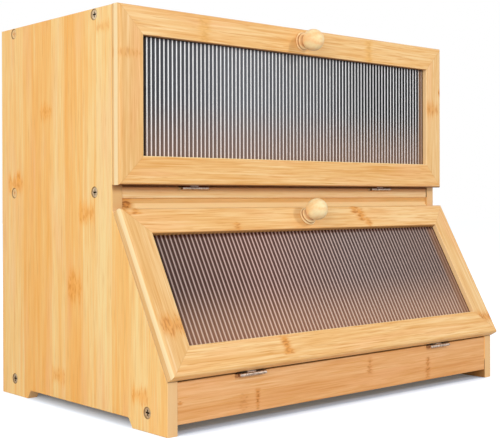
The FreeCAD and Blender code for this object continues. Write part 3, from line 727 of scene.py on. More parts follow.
@dataclass(frozen=True)
class ReededAcrylic:
    """Clear moulded acrylic sheet with round reeds.

    A pale line of painted highlight on the crest of each reed stands for the room's light that
    the crest gathers, and a slate band of painted shade on its flanks for the dim inside of the
    box that they bend; the band is warmer low down, where the board under it would show.
    Beside the frame painted shadow darkens the sheet, and at the far side it carries a painted
    reflection of the wood. The body lets part of the light through.

    The opening is left, right, low and high. A line's share is its half width over the pitch,
    at the left and at the right, and its core is the part of that where it is full. The rims
    lie at the left, right and top.
    """

    name: str
    place: Place
    first_crest: float
    pitch: float
    opening: tuple[float, float, float, float]
    line_share: tuple[float, float] = (0.157, 0.15)
    line_core: float = 0.72
    bodies: tuple[tuple[float, str], ...] = ((0.0, "3E3F44"), (0.3, "64656A"), (0.55, "505155"), (0.8, "121316"))
    lines: tuple[tuple[float, str], ...] = ((0.0, "FFFFFF"), (0.7, "FCFCFD"))
    warm: str = "8A6B5A"
    warm_line: str = "F2DCD2"
    warm_height: float = 0.55
    warmth: float = 0.7
    rims: tuple[Rim, Rim, Rim] = (Rim(5.9), Rim(7.5, 0.75, 0.2, "8F6A4C", 0.75), Rim(0.9, 0.9, 0.5))
    clear: float = 0.12
    roughness: float = 0.3
    gloss: float = 0.15
    line_roughness: float = 0.4
    line_gloss: float = 0.1

    def material(self) -> bpy.types.Material:
        """Builds the node material.

        Returns:
            The material, which reads Object coordinates.
        """
        material, tree = fresh_material(self.name)
        across, _, height = add(tree, "SeparateXYZ", {0: own_frame(tree, self.place)}).outputs[:3]
        count = add(tree, "Math", {0: across, 1: self.first_crest}, operation="SUBTRACT")
        count = add(tree, "Math", {0: count, 1: self.pitch}, operation="DIVIDE")
        from_crest = add(tree, "Math", {0: count, 1: 0.5}, operation="PINGPONG")
        left, right, low, high = self.opening
        way = add(tree, "MapRange", {0: across, 1: left, 2: right})
        edge = add(tree, "MapRange", {0: way, 3: self.line_share[0], 4: self.line_share[1]})
        core = add(tree, "Math", {0: edge, 1: self.line_core}, operation="MULTIPLY")
        crest = add(tree, "MapRange", {0: from_crest, 1: edge, 2: core}, **SMOOTH)
        low_share = add(tree, "MapRange", {0: height, 1: low + self.warm_height * (high - low), 2: low,
                                           4: self.warmth}, **SMOOTH)
        body_rims, line_rims = self._rim_layers(tree, across, height)
        # The body's slate is painted shade and the pale lines are painted highlights; both are warmer low down and
        # take on the painted rims.
        body_tint, line_tint = (
            layered(tree, add(tree, "ValToRGB", {0: way}, [(stop, linear(tone)) for stop, tone in stops]),
                    [(low_share, warm), *rims])
            for stops, warm, rims in ((self.bodies, self.warm, body_rims), (self.lines, self.warm_line, line_rims)))
        body = add(tree, "BsdfPrincipled", {"Base Color": body_tint, "Roughness": self.roughness,
                                            "Alpha": 1.0 - self.clear, "IOR": ACRYLIC_IOR,
                                            "Specular IOR Level": self.gloss})
        line = add(tree, "BsdfPrincipled", {"Base Color": line_tint, "Roughness": self.line_roughness,
                                            "IOR": ACRYLIC_IOR, "Specular IOR Level": self.line_gloss})
        add(tree, "OutputMaterial", {0: add(tree, "MixShader", {0: crest, 1: body, 2: line})})
        return material

    def _rim_layers(self, tree: Tree, across: Signal, height: Signal) -> tuple[list[Layer], list[Layer]]:
        """Works out the rims, the right one first and the top one last.

        Args:
            tree: the material's node tree.
            across: a point's place across the pane.
            height: its height.

        Returns:
            The rims' layers over the body and those over the lines.
        """
        left, right, _, top = self.opening
        at_left, at_right, at_top = self.rims
        over_body, over_lines = [], []
        for rim, far, near in ((at_right, right, across), (at_left, across, left), (at_top, top, height)):
            gap = add(tree, "Math", {0: far, 1: near}, operation="SUBTRACT")
            share = add(tree, "MapRange", {0: gap, 1: rim.width, 2: rim.width * (1 - rim.softness)}, **SMOOTH)
            for layers, strength in ((over_body, rim.strength), (over_lines, rim.lines)):
                layers.append((add(tree, "Math", {0: share, 1: strength}, operation="MULTIPLY"), rim.colour))
        return over_body, over_lines


@dataclass(frozen=True)
class PlatedMetal:
    """Metal under a thin bright plating, with the faint cloudiness of small stamped parts.

    Screw heads may have a plane, an axis and the head's place on it: what lies deeper is the
    cross recess, which painted shade keeps dark. Inside the windows of `filled`, wood filler
    covers the heads, and they hardly show.
    """

    name: str
    deep: str
    pale: str
    roughness: float
    cloud_size: float = 1.2
    cloud_stretch: tuple[float, float] = (0.3, 0.7)
    roughness_spread: tuple[float, float] = (0.08, -0.05)
    head: tuple[Axis, float] | None = None
    # The colour of the painted shade in the cross recess.
    recess: str = "2A2826"
    recess_depth: tuple[float, float] = (0.15, 0.6)
    filled: tuple[Window, ...] = ()
    filler: str = "F0C484"

    def material(self) -> bpy.types.Material:
        """Builds the node material.

        Returns:
            The material, which reads Object coordinates.
        """
        material, tree = fresh_material(self.name)
        where = add(tree, "TexCoord").outputs["Object"]
        cloud = add(tree, "TexNoise", {"Vector": where, "Scale": 1 / (self.cloud_size * MM), "Detail": 3.0})
        low, high = self.cloud_stretch
        colour = add(tree, "ValToRGB", {0: cloud}, ((low, linear(self.deep)), (high, linear(self.pale))))
        bare = 1.0
        if self.head:
            axis, face = self.head
            start, full = self.recess_depth
            parts = add(tree, "SeparateXYZ", {0: own_frame(tree, Place())}).outputs
            place = add(tree, "Math", {0: parts[axis.value]}, operation="ABSOLUTE")
            # Painted shade in the cross recess.
            dark = add(tree, "MapRange", {0: place, 1: face - start, 2: face - full})
            colour = layered(tree, colour, [(dark, self.recess)])
            if self.filled:
                covered = windowed(tree, 1.0, parts, self.filled)
                colour = layered(tree, colour, [(covered, self.filler)])
                bare = add(tree, "Math", {0: 1.0, 1: covered}, operation="SUBTRACT")
        rough_low, rough_high = (self.roughness + part for part in self.roughness_spread)
        rough = add(tree, "MapRange", {0: cloud, 1: low, 2: high, 3: rough_low, 4: rough_high})
        shader = add(tree, "BsdfPrincipled", {"Base Color": colour, "Roughness": rough, "Metallic": bare})
        add(tree, "OutputMaterial", {0: shader})
        return material


# ---------------------------------------------------------------------------------------
# Carcass: side panels, level boards and fasteners
# ---------------------------------------------------------------------------------------
# The first stave starts, and its width counts, from a little outside the board's edge.
STAVE_START, WIDTH_START = -6.0, -5.0
STAVE_WIDTHS, MOST_STAVES = (21.0, 28.0), 40
TONE_MEAN, TONE_SPREAD, TONE_LIMITS = 0.5, 0.2, (0.15, 0.9)
KNOT_CHANCE, KNOT_MARGIN, KNOT_OFFSET, KNOT_HALF_WIDTH = 0.66, 12.0, 12.0, 10.5
KNOT_HALF_HEIGHTS, KNOT_STRENGTHS, KNOT_SEED = (6.0, 12.0), (0.45, 0.9), 500


def seeded_staves(seed: int, low: float, high: float) -> tuple[tuple[float, float], ...]:
    """Lays staves side by side, each with its own width and tone.

    Args:
        seed: the seed of the draw.
        low: the board's lower edge across the staves.
        high: its upper edge.

    Returns:
        Each stave's start and tone.
    """
    draw = np.random.default_rng(seed)
    starts = low + WIDTH_START + np.cumsum(draw.uniform(*STAVE_WIDTHS, MOST_STAVES))
    starts = np.concatenate([[low + STAVE_START], starts[starts < high]])
    tones = np.clip(draw.normal(TONE_MEAN, TONE_SPREAD, len(starts)), *TONE_LIMITS)
    return tuple(zip(starts.round(2).tolist(), tones.round(3).tolist()))


def seeded_knots(seed: int, staves: tuple[tuple[float, float], ...], low: float,
                 high: float) -> tuple[Knot, ...]:
    """Puts one cane joint at a random height in about two of three staves.

    Args:
        seed: the seed of the board, from which the draw's own seed follows.
        staves: each stave's start and tone.
        low: the board's lower end along the grain.
        high: its upper end.

    Returns:
        The knots.
    """
    draw = np.random.default_rng(seed + KNOT_SEED)
    knots = []
    for start, _ in staves:
        along = draw.uniform(low + KNOT_MARGIN, high - KNOT_MARGIN)
        strength, wanted = draw.uniform(*KNOT_STRENGTHS), draw.random()
        if wanted < KNOT_CHANCE:
            half_height = draw.uniform(*KNOT_HALF_HEIGHTS)
            knots.append(Knot(start + KNOT_OFFSET, float(along), KNOT_HALF_WIDTH, float(half_height),
                              float(strength)))
    return tuple(knots)


@dataclass
class Carcass:
    """The fixed boards, their screws, dowels and the catch magnets they hold.

    The back upper side screws lie in the windows of filled_heads, where wood filler covers
    them.
    """

    metal: bpy.types.Material
    magnet: bpy.types.Material
    back: float = 130.367
    side_heads: float = 199.5
    filled_heads: tuple[Window, ...] = ((Axis.Y, 50.0, 51.0), (Axis.Z, 100.0, 101.0))
    height: float = 332.0
    depth_span: tuple[float, float] = (-131.0, 131.0)
    width_span: tuple[float, float] = (-200.0, 200.0)
    panel_edge: Window = (Axis.Y, -50.2, -50.55)
    board_face: Window = (Axis.Y, -49.7, -49.95)
    steel_nodes: tuple[str, ...] = (
        "upper_hinge_fixed_leaves", "upper_hinge_pins", "upper_hinge_fixed_screws",
        "lower_hinge_fixed_leaves", "lower_hinge_pins", "lower_hinge_fixed_screws")

    @property
    def side_screws(self) -> tuple[tuple[float, float], ...]:
        """The side panels' screw holes by their depth and height, front to back in each row."""
        upper, lower, back = -25.133, -97.133, 107.367
        return ((upper, 327.0), (back, 327.0), (upper, 183.0), (back, 183.0), (lower, 15.0), (back, 15.0))

    def left_panel(self) -> Bamboo:
        """Lays up the left side panel from upright staves, counted from the front edge.

        Returns:
            Its finish, with painted shade on its front edge under and beside the upper door's foot.
        """
        # Painted shade on the front edge under the upper door, darkest just below its foot.
        door_foot_shade_window = (self.panel_edge, (Axis.Z, 189.3, 188.5))
        return Bamboo(
            "lacquered_bamboo_left_panel", Axis.Z, Axis.Y,
            staves=((-130.0, 0.55), (-98.6, 0.72), (-74.6, 0.5), (-50.6, 0.9), (-28.6, 0.66), (-7.6, 0.34),
                    (20.4, 0.68), (41.4, 0.26), (68.4, 0.32), (89.9, 0.66), (117.4, 0.55)),
            knots=(Knot(51.4, 253.0, 11, 9, 0.6), Knot(104.4, 191.0, 15, 9, 0.75), Knot(99.5, 196.0, 3.5, 7, 1.0),
                   Knot(-12.6, 166.0, 13, 9, 0.6), Knot(5.4, 104.0, 12, 17, 0.7), Knot(31.4, 27.0, 12, 8, 0.5),
                   Knot(-87.6, 26.5, 12, 8, 0.6), Knot(-38.6, 316.0, 11, 6, 0.35)),
            sinks=self.side_screws, sawn=(-195.0, 5.0), fibre=0.3,
            bands=(Band(Axis.Z, 167.0, 172.0, "D4A052", 0.4, door_foot_shade_window),
                   Band(Axis.Z, 181.5, 188.3, "944C08", 0.68, door_foot_shade_window)))

    def right_panel(self) -> Bamboo:
        """Lays up the right side panel.

        Returns:
            Its finish, with painted shade on the inside of its foot, and a pale strip along the front
            of its inner face beside the stop rail.
        """
        inside = (Axis.X, 190.7)
        return self.board(
            "right_panel", Axis.Z, Axis.Y, self.depth_span, (0.0, self.height), 31,
            sinks=self.side_screws, sawn=(195.0, 5.0),
            # Painted shade on the inner face of the foot, then a pale strip at the front of the inner face.
            bands=(Band(*inside, 190.3, "6A4426", 0.75, ((Axis.Z, 20.0, 17.0),)),
                   Band(*inside, 190.2, "E6B878", 0.9, ((Axis.Y, -48.0, -48.8), (Axis.Z, 168.0, 171.0)))))

    def middle_shelf(self) -> Bamboo:
        """Lays up the middle shelf.

        Returns:
            Its finish, with painted shade on its front face under the upper door's foot, darkest
            along its top arris and at the right end, beside the side panel.
        """
        face = (self.board_face,)
        return self.board(
            "middle_shelf", Axis.X, Axis.Y, self.depth_span, self.width_span, 13,
            deep="F2C688", middle="F8DAA6", pale="FFEBC2",
            # Painted shade under the upper door's foot, and at the right end beside the side panel.
            bands=(Band(Axis.Z, 181.8, 186.0, "CE7A28", 0.68, face),
                   Band(Axis.Z, 185.9, 187.6, "6A2600", 0.9, face),
                   Band(Axis.X, 188.5, 189.2, "4A2400", 0.95, face)))

    def stop_rail(self) -> Bamboo:
        """Lays up the rail under the middle shelf.

        Returns:
            Its finish, with a pale strip of painted light along its lower edge, which fades out at
            the left end, and painted shade at the right end, beside the side panel.
        """
        return Bamboo(
            "lacquered_bamboo_stop_rail", Axis.X, Axis.Z, staves=((100.0, 0.4),),
            knots=(Knot(174.5, -185.5, 6.5, 6.0, 0.85),), flush="DC9440", mark="985A1C",
            fibre=0.4, seed=3.0, deep="DCA258", middle="E4B26C", pale="ECC082",
            # Painted light along the lower edge, and painted shade at the right end.
            bands=(Band(Axis.Z, 174.5, 173.5, "FFDDA2", 0.9, ((Axis.X, -182.0, -176.0),)),
                   Band(Axis.X, 189.2, 189.8, "8A5A2C", 0.6)))

    def front_board(self) -> Bamboo:
        """Lays up the board under the lower door from two staves.

        Returns:
            Its finish, with painted shade on its top arris, under the lower door.
        """
        return Bamboo(
            "lacquered_bamboo_front_board", Axis.X, Axis.Z, staves=((0.0, 0.42), (24.5, 0.56)), fibre=0.4,
            deep="DE9A58", middle="EAAE70", pale="F4C28C", veins=0.6,
            knots=(Knot(30.0, 23.0, 8, 4, 0.55), Knot(19.0, 103.0, 11, 4, 0.8), Knot(24.3, -187.5, 1.6, 3.0, 1.0),
                   Knot(18.0, -109.5, 9, 2.6, 0.95), Knot(17.0, -124.0, 8, 5.0, 0.35)),
            # Painted shade on the top arris, in the gap under the lower door.
            bands=(Band(Axis.Z, 39.5, 40.1, "B06818", 0.6, ((Axis.Y, -121.0, -121.5),)),),
            flush="DE9650", mark="B4702C", seed=5.0)

    def board(self, name: str, grain: Axis, across: Axis, span: tuple[float, float],
              length: tuple[float, float], seed: int, **finish: object) -> Bamboo:
        """Lays up a board with staves and joints drawn by its seed.

        Args:
            name: the board's name.
            grain: the axis of the grain.
            across: the axis across the staves.
            span: the board's edges on that axis.
            length: its ends along the grain.
            seed: the seed of the draws.
            finish: what else differs from plain bamboo.

        Returns:
            Its finish.
        """
        staves = seeded_staves(seed, *span)
        return Bamboo(f"lacquered_bamboo_{name}", grain, across, staves=staves,
                      knots=seeded_knots(seed, staves, *length), fibre=0.3, seed=float(seed), **finish)

    def build(self) -> None:
        """Gives every fixed piece its finish."""
        level = (Axis.X, Axis.Y, self.depth_span, self.width_span)
        upright = (Axis.X, Axis.Z, (0.0, self.height), self.width_span)
        finishes = {
            "side_panel_left": self.left_panel(),
            "side_panel_right": self.right_panel(),
            "top_panel": self.board("top_panel", *level, 12),
            "middle_shelf": self.middle_shelf(),
            "bottom_panel": self.board("bottom_panel", *level, 14),
            "back_panel": self.board("back_panel", *upright, 15),
            "stop_rail": self.stop_rail(),
            "front_board": self.front_board(),
        }
        for node, finish in finishes.items():
            dress(node, finish.material())
        dowel = TurnedWood("bare_beech_dowel", Place(), "CFA873", "E8CB9C", 0.6).material()
        for node in ("front_board_dowels", "stop_rail_dowels"):
            dress(node, dowel)
        for node in self.steel_nodes:
            dress(node, self.metal)
        # The screws' cross recesses keep painted shade; wood filler covers the back upper side heads.
        side_screw = PlatedMetal(
            "zinc_plated_side_screw", "BC9C76", "F6DEBA", 0.3, head=(Axis.X, self.side_heads), recess="2A1E14",
            filled=self.filled_heads).material()
        for node in ("side_screws_left", "side_screws_right"):
            dress(node, side_screw)
        back_screw = PlatedMetal("zinc_plated_back_screw", "CFC8BA", "FBF4E6", 0.3, head=(Axis.Y, self.back))
        dress("back_screws", back_screw.material())
        for node in ("upper_catch_magnets", "lower_catch_magnets"):
            dress(node, self.magnet)


# ---------------------------------------------------------------------------------------
# Doors
# ---------------------------------------------------------------------------------------
class Tier(Enum):
    """Which of the two doors, by the start of its pieces' names."""

    UPPER = "upper"
    LOWER = "lower"


@dataclass
class Door:
    """A mitred frame round a reeded pane, with a turned knob and its half of the hinges.

    Sizes are in the door's own frame: across its width from the left, out of its face along
    -Y, and up its height from the bottom edge. A bead of the knob's collar is its radius, its
    bulge, and where it starts and ends. Painted shade darkens the knob at its foot, between its
    beads and at the neck. Each frame member has its knots, seed, stave's tone and edges by its name.
    """

    tier: Tier
    place: Place
    width: float = 400.0
    height: float = 143.5
    thickness: float = 10.0
    frame_width: float = 23.5
    reed_pitch: float = 4.3
    reed_count: int = 84
    reed_points: int = 9
    pane_edge: float = 18.65
    pane_back: float = 2.8
    pane_trough: float = 4.5
    pane_crest: float = 5.2
    beads: tuple[tuple[float, float, float, float], ...] = ((8.5, 1.5, 0.0, 2.0), (7.3, 1.3, 2.15, 3.9))
    bead_points: int = 11
    foot_radius: float = 0.4
    neck_radius: float = 4.6
    neck_flare: float = 0.5
    neck_points: int = 6
    ball_radius: float = 9.8
    ball_reach: float = 14.5
    ball_points: int = 34
    ball_pole: float = 0.012
    knob_height: float = 131.75
    knob_around: int = 72
    knob_tones: tuple[str, str] = ("FAC688", "FFE3AC")
    # Where the painted shade on the knob lies, and its half widths.
    foot_groove: float = 0.1
    neck_groove: float = 0.8
    groove_halves: tuple[float, float, float] = (0.5, 0.45, 1.1)
    strip: tuple[tuple[float, float], ...] = ((7.9, 6.9), (1.5, 3.0))
    stile_side: tuple[float, float] = (1.6, 0.9)
    knots: dict[str, tuple[Knot, ...]] = field(default_factory=dict)
    seeds: dict[str, float] = field(default_factory=dict)
    tones: dict[str, float] = field(default_factory=dict)
    edges: dict[str, dict[str, object]] = field(default_factory=dict)
    pane_finish: dict[str, object] = field(default_factory=dict)

    @property
    def body(self) -> str:
        """The name of the body that the door's pieces ride on."""
        return f"{self.tier.value}_door"

    def to_box(self, points: np.ndarray) -> np.ndarray:
        """Turns and moves points from the door's own frame to the box's.

        Args:
            points: an array whose last axis is X, Y and Z, in millimetres.

        Returns:
            The same array in the box's frame, in metres.
        """
        cosine, sine = math.cos(self.place.lean), math.sin(self.place.lean)
        turn = np.array([[1, 0, 0], [0, cosine, -sine], [0, sine, cosine]])
        return (points * MM) @ turn.T + np.array(self.place.origin)

    def add_piece(self, obj: bpy.types.Object, finish: TurnedWood | ReededAcrylic, node: str) -> None:
        """Dresses a new piece of the door, hangs it on an empty for the door's body, and hides the solid that it
        stands for.

        Args:
            obj: the piece.
            finish: its finish.
            node: the last word of the solid's name that it replaces.
        """
        dress(obj, finish.material())
        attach(obj, self.body)
        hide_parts(f"{self.body}_{node}")

    def pane(self) -> None:
        """Builds the reeded pane.

        Across the width, the front face is a row of equal arcs: at a share s of a reed, from
        -1 to 1, its height over the groove is sqrt(R^2 - (s * half)^2) - sqrt(R^2 - half^2).
        A four-cornered ring at each station joins that face to the flat back.
        """
        half, rise = self.reed_pitch / 2, self.pane_crest - self.pane_trough
        radius = (half ** 2 + rise ** 2) / (2 * rise)
        share = np.linspace(-1.0, 1.0, self.reed_points)[:-1]
        start = (self.width - self.reed_count * self.reed_pitch) / 2
        reed = np.arange(self.reed_count)[:, None] * self.reed_pitch + start
        across = (reed + (share[None, :] + 1) * half).ravel()
        over = np.tile(np.sqrt(radius ** 2 - (share * half) ** 2) - math.sqrt(radius ** 2 - half ** 2),
                       self.reed_count)
        across = np.concatenate([[self.pane_edge], across, [self.width - start, self.width - self.pane_edge]])
        front = -(self.pane_trough + np.concatenate([[0.0], over, [0.0, 0.0]]))
        back = np.full_like(front, -self.pane_back)
        low, high = self.pane_edge, self.height - self.pane_edge
        corners = ((front, low), (front, high), (back, high), (back, low))
        rings = np.stack([np.stack([across, reach, np.full_like(front, level)], axis=-1)
                          for reach, level in corners], axis=1)
        edge = self.frame_width
        finish = ReededAcrylic(f"reeded_acrylic_{self.tier.value}", self.place, start + half, self.reed_pitch,
                               (edge, self.width - edge, edge, self.height - edge), **self.pane_finish)
        self.add_piece(surface(f"{self.tier.value}_reeded_pane", self.to_box(rings)), finish, "window")

    def knob_profile(self) -> np.ndarray:
        """Draws the turned knob's outline.

        The collar is two beads, each a half ellipse, with a groove between them. The neck is a
        hollow cubic curve from the second bead to the ball, and the ball a circle's arc that
        ends a hair before the front pole.

        Returns:
            Each point's radius and its reach from the door's face.
        """
        half_turn = np.linspace(-math.pi / 2, math.pi / 2, self.bead_points)
        beads = [np.stack([radius - bulge + bulge * np.cos(half_turn),
                           (low + high) / 2 + (high - low) / 2 * np.sin(half_turn)], axis=-1)
                 for radius, bulge, low, high in self.beads]
        last_radius, last_bulge, _, level = self.beads[-1]
        meet = math.asin((self.neck_radius + self.neck_flare) / self.ball_radius)
        ball_start = self.ball_reach - self.ball_radius * math.cos(meet)
        part = np.linspace(0.0, 1.0, self.neck_points + 2)[1:-1]
        hollow = (last_radius - last_bulge - self.neck_radius) * (1 - part) ** 3
        neck = np.stack([self.neck_radius + hollow + self.neck_flare * part ** 3,
                         level + (ball_start - level) * part], axis=-1)
        turn = np.linspace(meet, math.pi - self.ball_pole, self.ball_points)
        ball = np.stack([self.ball_radius * np.sin(turn), self.ball_reach - self.ball_radius * np.cos(turn)],
                        axis=-1)
        return np.concatenate([[[self.foot_radius, 0.0]], *beads, neck, ball])

    def knob(self) -> None:
        """Builds the turned knob: its profile carried round the axis, square to the door's face.

        A point lies at its radius times the cosine of its angle across the door, and at its
        radius times the sine up it.
        """
        profile = self.knob_profile()
        angle = np.linspace(0.0, 2 * math.pi, self.knob_around, endpoint=False)
        radius, reach = profile[:, 0][:, None], profile[:, 1][:, None]
        rings = np.stack([self.width / 2 + radius * np.cos(angle)[None, :],
                          -self.thickness - reach + 0 * angle[None, :],
                          self.knob_height + radius * np.sin(angle)[None, :]], axis=-1)
        centre = self.to_box(np.array([self.width / 2, 0.0, self.knob_height]))
        (_, _, _, first_end), (_, _, second_start, second_end) = self.beads
        reaches = (self.foot_groove, (first_end + second_start) / 2, second_end + self.neck_groove)
        grooves = tuple((-self.thickness - reach, half) for reach, half in zip(reaches, self.groove_halves))
        finish = TurnedWood(f"turned_beech_{self.tier.value}_knob", Place(tuple(centre.tolist()), self.place.lean),
                            *self.knob_tones, grooves=grooves)
        self.add_piece(surface(f"{self.tier.value}_turned_knob", self.to_box(rings), sharp_deg=40.0),
                       finish, "knob")

    def dress_frame(self) -> None:
        """Gives the four frame members bamboo with the grain along each one.

        A stile's outer side carries a pale strip of painted highlight, and painted shade at the
        back, in the gap where it closes on the box.
        """
        shut, clear = self.stile_side
        sides = {"left_stile": (Axis.X, shut, clear),
                 "right_stile": (Axis.X, self.width - shut, self.width - clear)}
        for member in ("top_rail", "bottom_rail", "left_stile", "right_stile"):
            grain, across = (Axis.Z, Axis.X) if member in sides else (Axis.X, Axis.Z)
            finish = dict(self.edges.get(member, {}))
            if member in sides:
                # The pale strip on the outer side is a painted highlight, and the band at its back painted shade.
                finish |= {"edge_highlight_share": 0.95, "strip": self.strip, "deep": "E6B069", "middle": "EFC07F",
                           "pale": "F6D29B", "bands": (Band(Axis.Y, -0.7, -0.2, "7A481C", 0.75, (sides[member],)),)}
            bamboo = FrameBamboo(
                f"lacquered_bamboo_{self.tier.value}_{member}", grain, across, self.place,
                staves=((-5.0, self.tones[member]),), knots=self.knots.get(member, ()), seed=self.seeds[member],
                outside=(self.width, self.height), member_width=self.frame_width, face=-self.thickness, **finish)
            dress(f"{self.body}_{member}", bamboo.material())

    def build(self, metal: bpy.types.Material, magnet: bpy.types.Material) -> None:
        """Builds and dresses the whole door.

        Args:
            metal: the finish of screws and hinge leaves.
            magnet: the finish of the strike magnets.
        """
        self.dress_frame()
        self.pane()
        self.knob()
        tier = self.tier.value
        for node in (f"{self.body}_knob_screw", f"{tier}_hinge_door_leaves", f"{tier}_hinge_door_screws"):
            dress(node, metal)
        dress(f"{self.body}_strike_magnets", magnet)


# ---------------------------------------------------------------------------------------
# Studio: floor, light and camera
# ---------------------------------------------------------------------------------------
@dataclass
class Lamp:
    """A square soft box of white light: where it hangs, its size, its power and what it faces."""

    name: str
    at: tuple[float, float, float]
    size: float
    watts: float
    aim: tuple[float, float, float] = (0.0, 0.0, 0.15)

    def build(self) -> None:
        """Hangs the lamp."""
        light = bpy.data.lights.new(self.name, "AREA")
        light.shape, light.size, light.energy = "SQUARE", self.size, self.watts
        back = np.array(self.at) - np.array(self.aim)
        back /= np.linalg.norm(back)
        side = np.cross((0.0, 0.0, 1.0), back)
        side /= np.linalg.norm(side)
        rows = np.column_stack([side, np.cross(back, side), back])
        placed(self.name, light, Matrix.Translation(self.at) @ Matrix(rows.tolist()).to_4x4())


@dataclass(frozen=True)
class WhitePaper:
    """Matt white background paper, lit so evenly that it shows soft shades only.

    The lift is how much brighter than lit the camera sees it. It falls to under_lift as the
    open share of the air above a point falls through shade_shares. Towards the box's left side,
    between two places on X, it grows again by a power law: a painted glow that lightens the
    shade under the box's left side. To the camera the paper is bluer, which keeps its shade
    from looking warm.
    """

    name: str
    lift: float = 0.7
    under_lift: float = 0.07
    shade_reach: float = 0.05
    shade_shares: tuple[float, float] = (0.3, 0.64)
    shade_samples: int = 12
    left_glow_side: tuple[float, float] = (-0.155, -0.205)
    left_glow_power: float = 3.0
    left_glow_lift: float = 0.7
    paper: str = "E4E6E8"
    seen_paper: str = "CFE1F8"
    glow: str = "FFFFFF"

    def material(self) -> bpy.types.Material:
        """Builds the node material.

        Returns:
            The material, which reads Object coordinates.
        """
        material, tree = fresh_material(self.name)
        seen = add(tree, "LightPath").outputs["Is Camera Ray"]
        open_share = add(tree, "AmbientOcclusion", {"Distance": self.shade_reach},
                         samples=self.shade_samples).outputs["AO"]
        lift = add(tree, "MapRange", {0: open_share, 1: self.shade_shares[0], 2: self.shade_shares[1],
                                      3: self.under_lift, 4: self.lift}, **SMOOTH)
        place = add(tree, "SeparateXYZ", {0: add(tree, "TexCoord").outputs["Object"]})
        # A painted glow on the paper towards the box's left side.
        low = add(tree, "MapRange", {0: place, 1: self.left_glow_side[0], 2: self.left_glow_side[1]})
        low = add(tree, "Math", {0: low, 1: self.left_glow_power}, operation="POWER")
        low = add(tree, "Math", {0: low, 1: self.left_glow_lift}, operation="MULTIPLY")
        lift = add(tree, "Math", {0: lift, 1: low}, operation="MAXIMUM")
        lift = add(tree, "Math", {0: seen, 1: lift}, operation="MULTIPLY")
        tint = add(tree, "Mix", {0: seen, 6: linear(self.paper), 7: linear(self.seen_paper)}, data_type="RGBA")
        paper = add(tree, "BsdfDiffuse", {"Color": tint.outputs[2]})
        glow = add(tree, "Emission", {"Color": linear(self.glow), "Strength": lift})
        add(tree, "OutputMaterial", {0: add(tree, "AddShader", {0: paper, 1: glow})})
        return material


@dataclass
class Studio:
    """A white floor and surround, soft boxes and the camera."""

    floor_half: float = 6.0
    ambient: float = 0.46
    white: str = "FFFFFF"
    lamps: tuple[Lamp, ...] = (
        Lamp("left_soft_box", (-2.15, -1.2, 0.8), 1.4, 29.5),
        Lamp("front_soft_box", (0.9, -2.2, 1.3), 0.3, 18.0),
        Lamp("top_soft_box", (0.1, 0.3, 2.4), 1.4, 3.0),
    )
    camera_at: tuple[float, float, float] = (-0.66177, -0.74224, 0.17780)
    yaw_deg: float = 41.277
    pitch_deg: float = -0.333
    roll_deg: float = -0.148
    lens_mm: float = 74.95
    sensor_mm: float = 36.0
    shift_y: float = -0.0323

    def floor(self) -> None:
        """Lays the white floor."""
        half = self.floor_half
        corners = [(-half, -half, 0), (half, -half, 0), (half, half, 0), (-half, half, 0)]
        mesh = bpy.data.meshes.new("studio_floor")
        mesh.from_pydata(corners, [], [(0, 1, 2, 3)])
        obj = placed("studio_floor", mesh)
        dress(obj, WhitePaper("white_paper_floor").material())

    def surround(self) -> None:
        """Lights the scene evenly and shows white to the camera, to gloss and through clear pieces."""
        world = bpy.data.worlds.new("studio_surround")
        bpy.context.scene.world = world
        world.use_nodes = True
        tree = world.node_tree
        tree.nodes.clear()
        path = add(tree, "LightPath").outputs
        seen = path["Is Camera Ray"]
        for ray in ("Is Glossy Ray", "Is Transmission Ray"):
            seen = add(tree, "Math", {0: seen, 1: path[ray]}, operation="MAXIMUM")
        strength = add(tree, "MapRange", {0: seen, 3: self.ambient, 4: 1.0})
        light = add(tree, "Background", {"Color": linear(self.white), "Strength": strength})
        add(tree, "OutputWorld", {0: light})

    def camera(self) -> None:
        """Sets the camera from its place, its turn from +Y towards +X, and its lens."""
        yaw, pitch, roll = (math.radians(turn) for turn in (self.yaw_deg, self.pitch_deg, self.roll_deg))
        ahead = np.array([math.sin(yaw) * math.cos(pitch), math.cos(yaw) * math.cos(pitch), math.sin(pitch)])
        level = np.array([math.cos(yaw), -math.sin(yaw), 0.0])
        upright = np.cross(level, ahead)
        right = math.cos(roll) * level + math.sin(roll) * upright
        top = -math.sin(roll) * level + math.cos(roll) * upright
        data = bpy.data.cameras.new("camera")
        data.sensor_fit, data.sensor_width, data.lens = "HORIZONTAL", self.sensor_mm, self.lens_mm
        data.shift_y, data.clip_start, data.clip_end = self.shift_y, 0.01, 50.0
        turn = Matrix(np.column_stack([right, top, -ahead]).tolist()).to_4x4()
        bpy.context.scene.camera = placed("camera", data, Matrix.Translation(self.camera_at) @ turn)

    def build(self) -> None:
        """Sets up the whole studio."""
        self.floor()
        self.surround()
        self.camera()
        for lamp in self.lamps:
            lamp.build()
        bpy.context.scene.view_settings.view_transform = "Standard"
        LOG.info("studio: %d lamps", len(self.lamps))


# ---------------------------------------------------------------------------------------
# The box
# ---------------------------------------------------------------------------------------
# The side panels' front edges lean back by 72 over a rise of 128.
LEAN = -math.atan(72.0 / 128.0)
UPPER_PLACE = Place((-0.2, -0.051033, 0.1885), 0.0)
LOWER_PLACE = Place((-0.2, -0.122737, 0.041132), LEAN)
# Painted shade darkens the arris on which each door closes: the upper door's all round its
# bottom edge, the lower door's at the back of its bottom edge only.
UPPER_FOOT_SHADE = Band(Axis.Z, 1.4, 0.4, "6A2400", 0.95)
LOWER_FOOT_SHADE = Band(Axis.Y, -2.0, -0.9, "5E2400", 0.92, ((Axis.Z, 2.2, 1.4),))


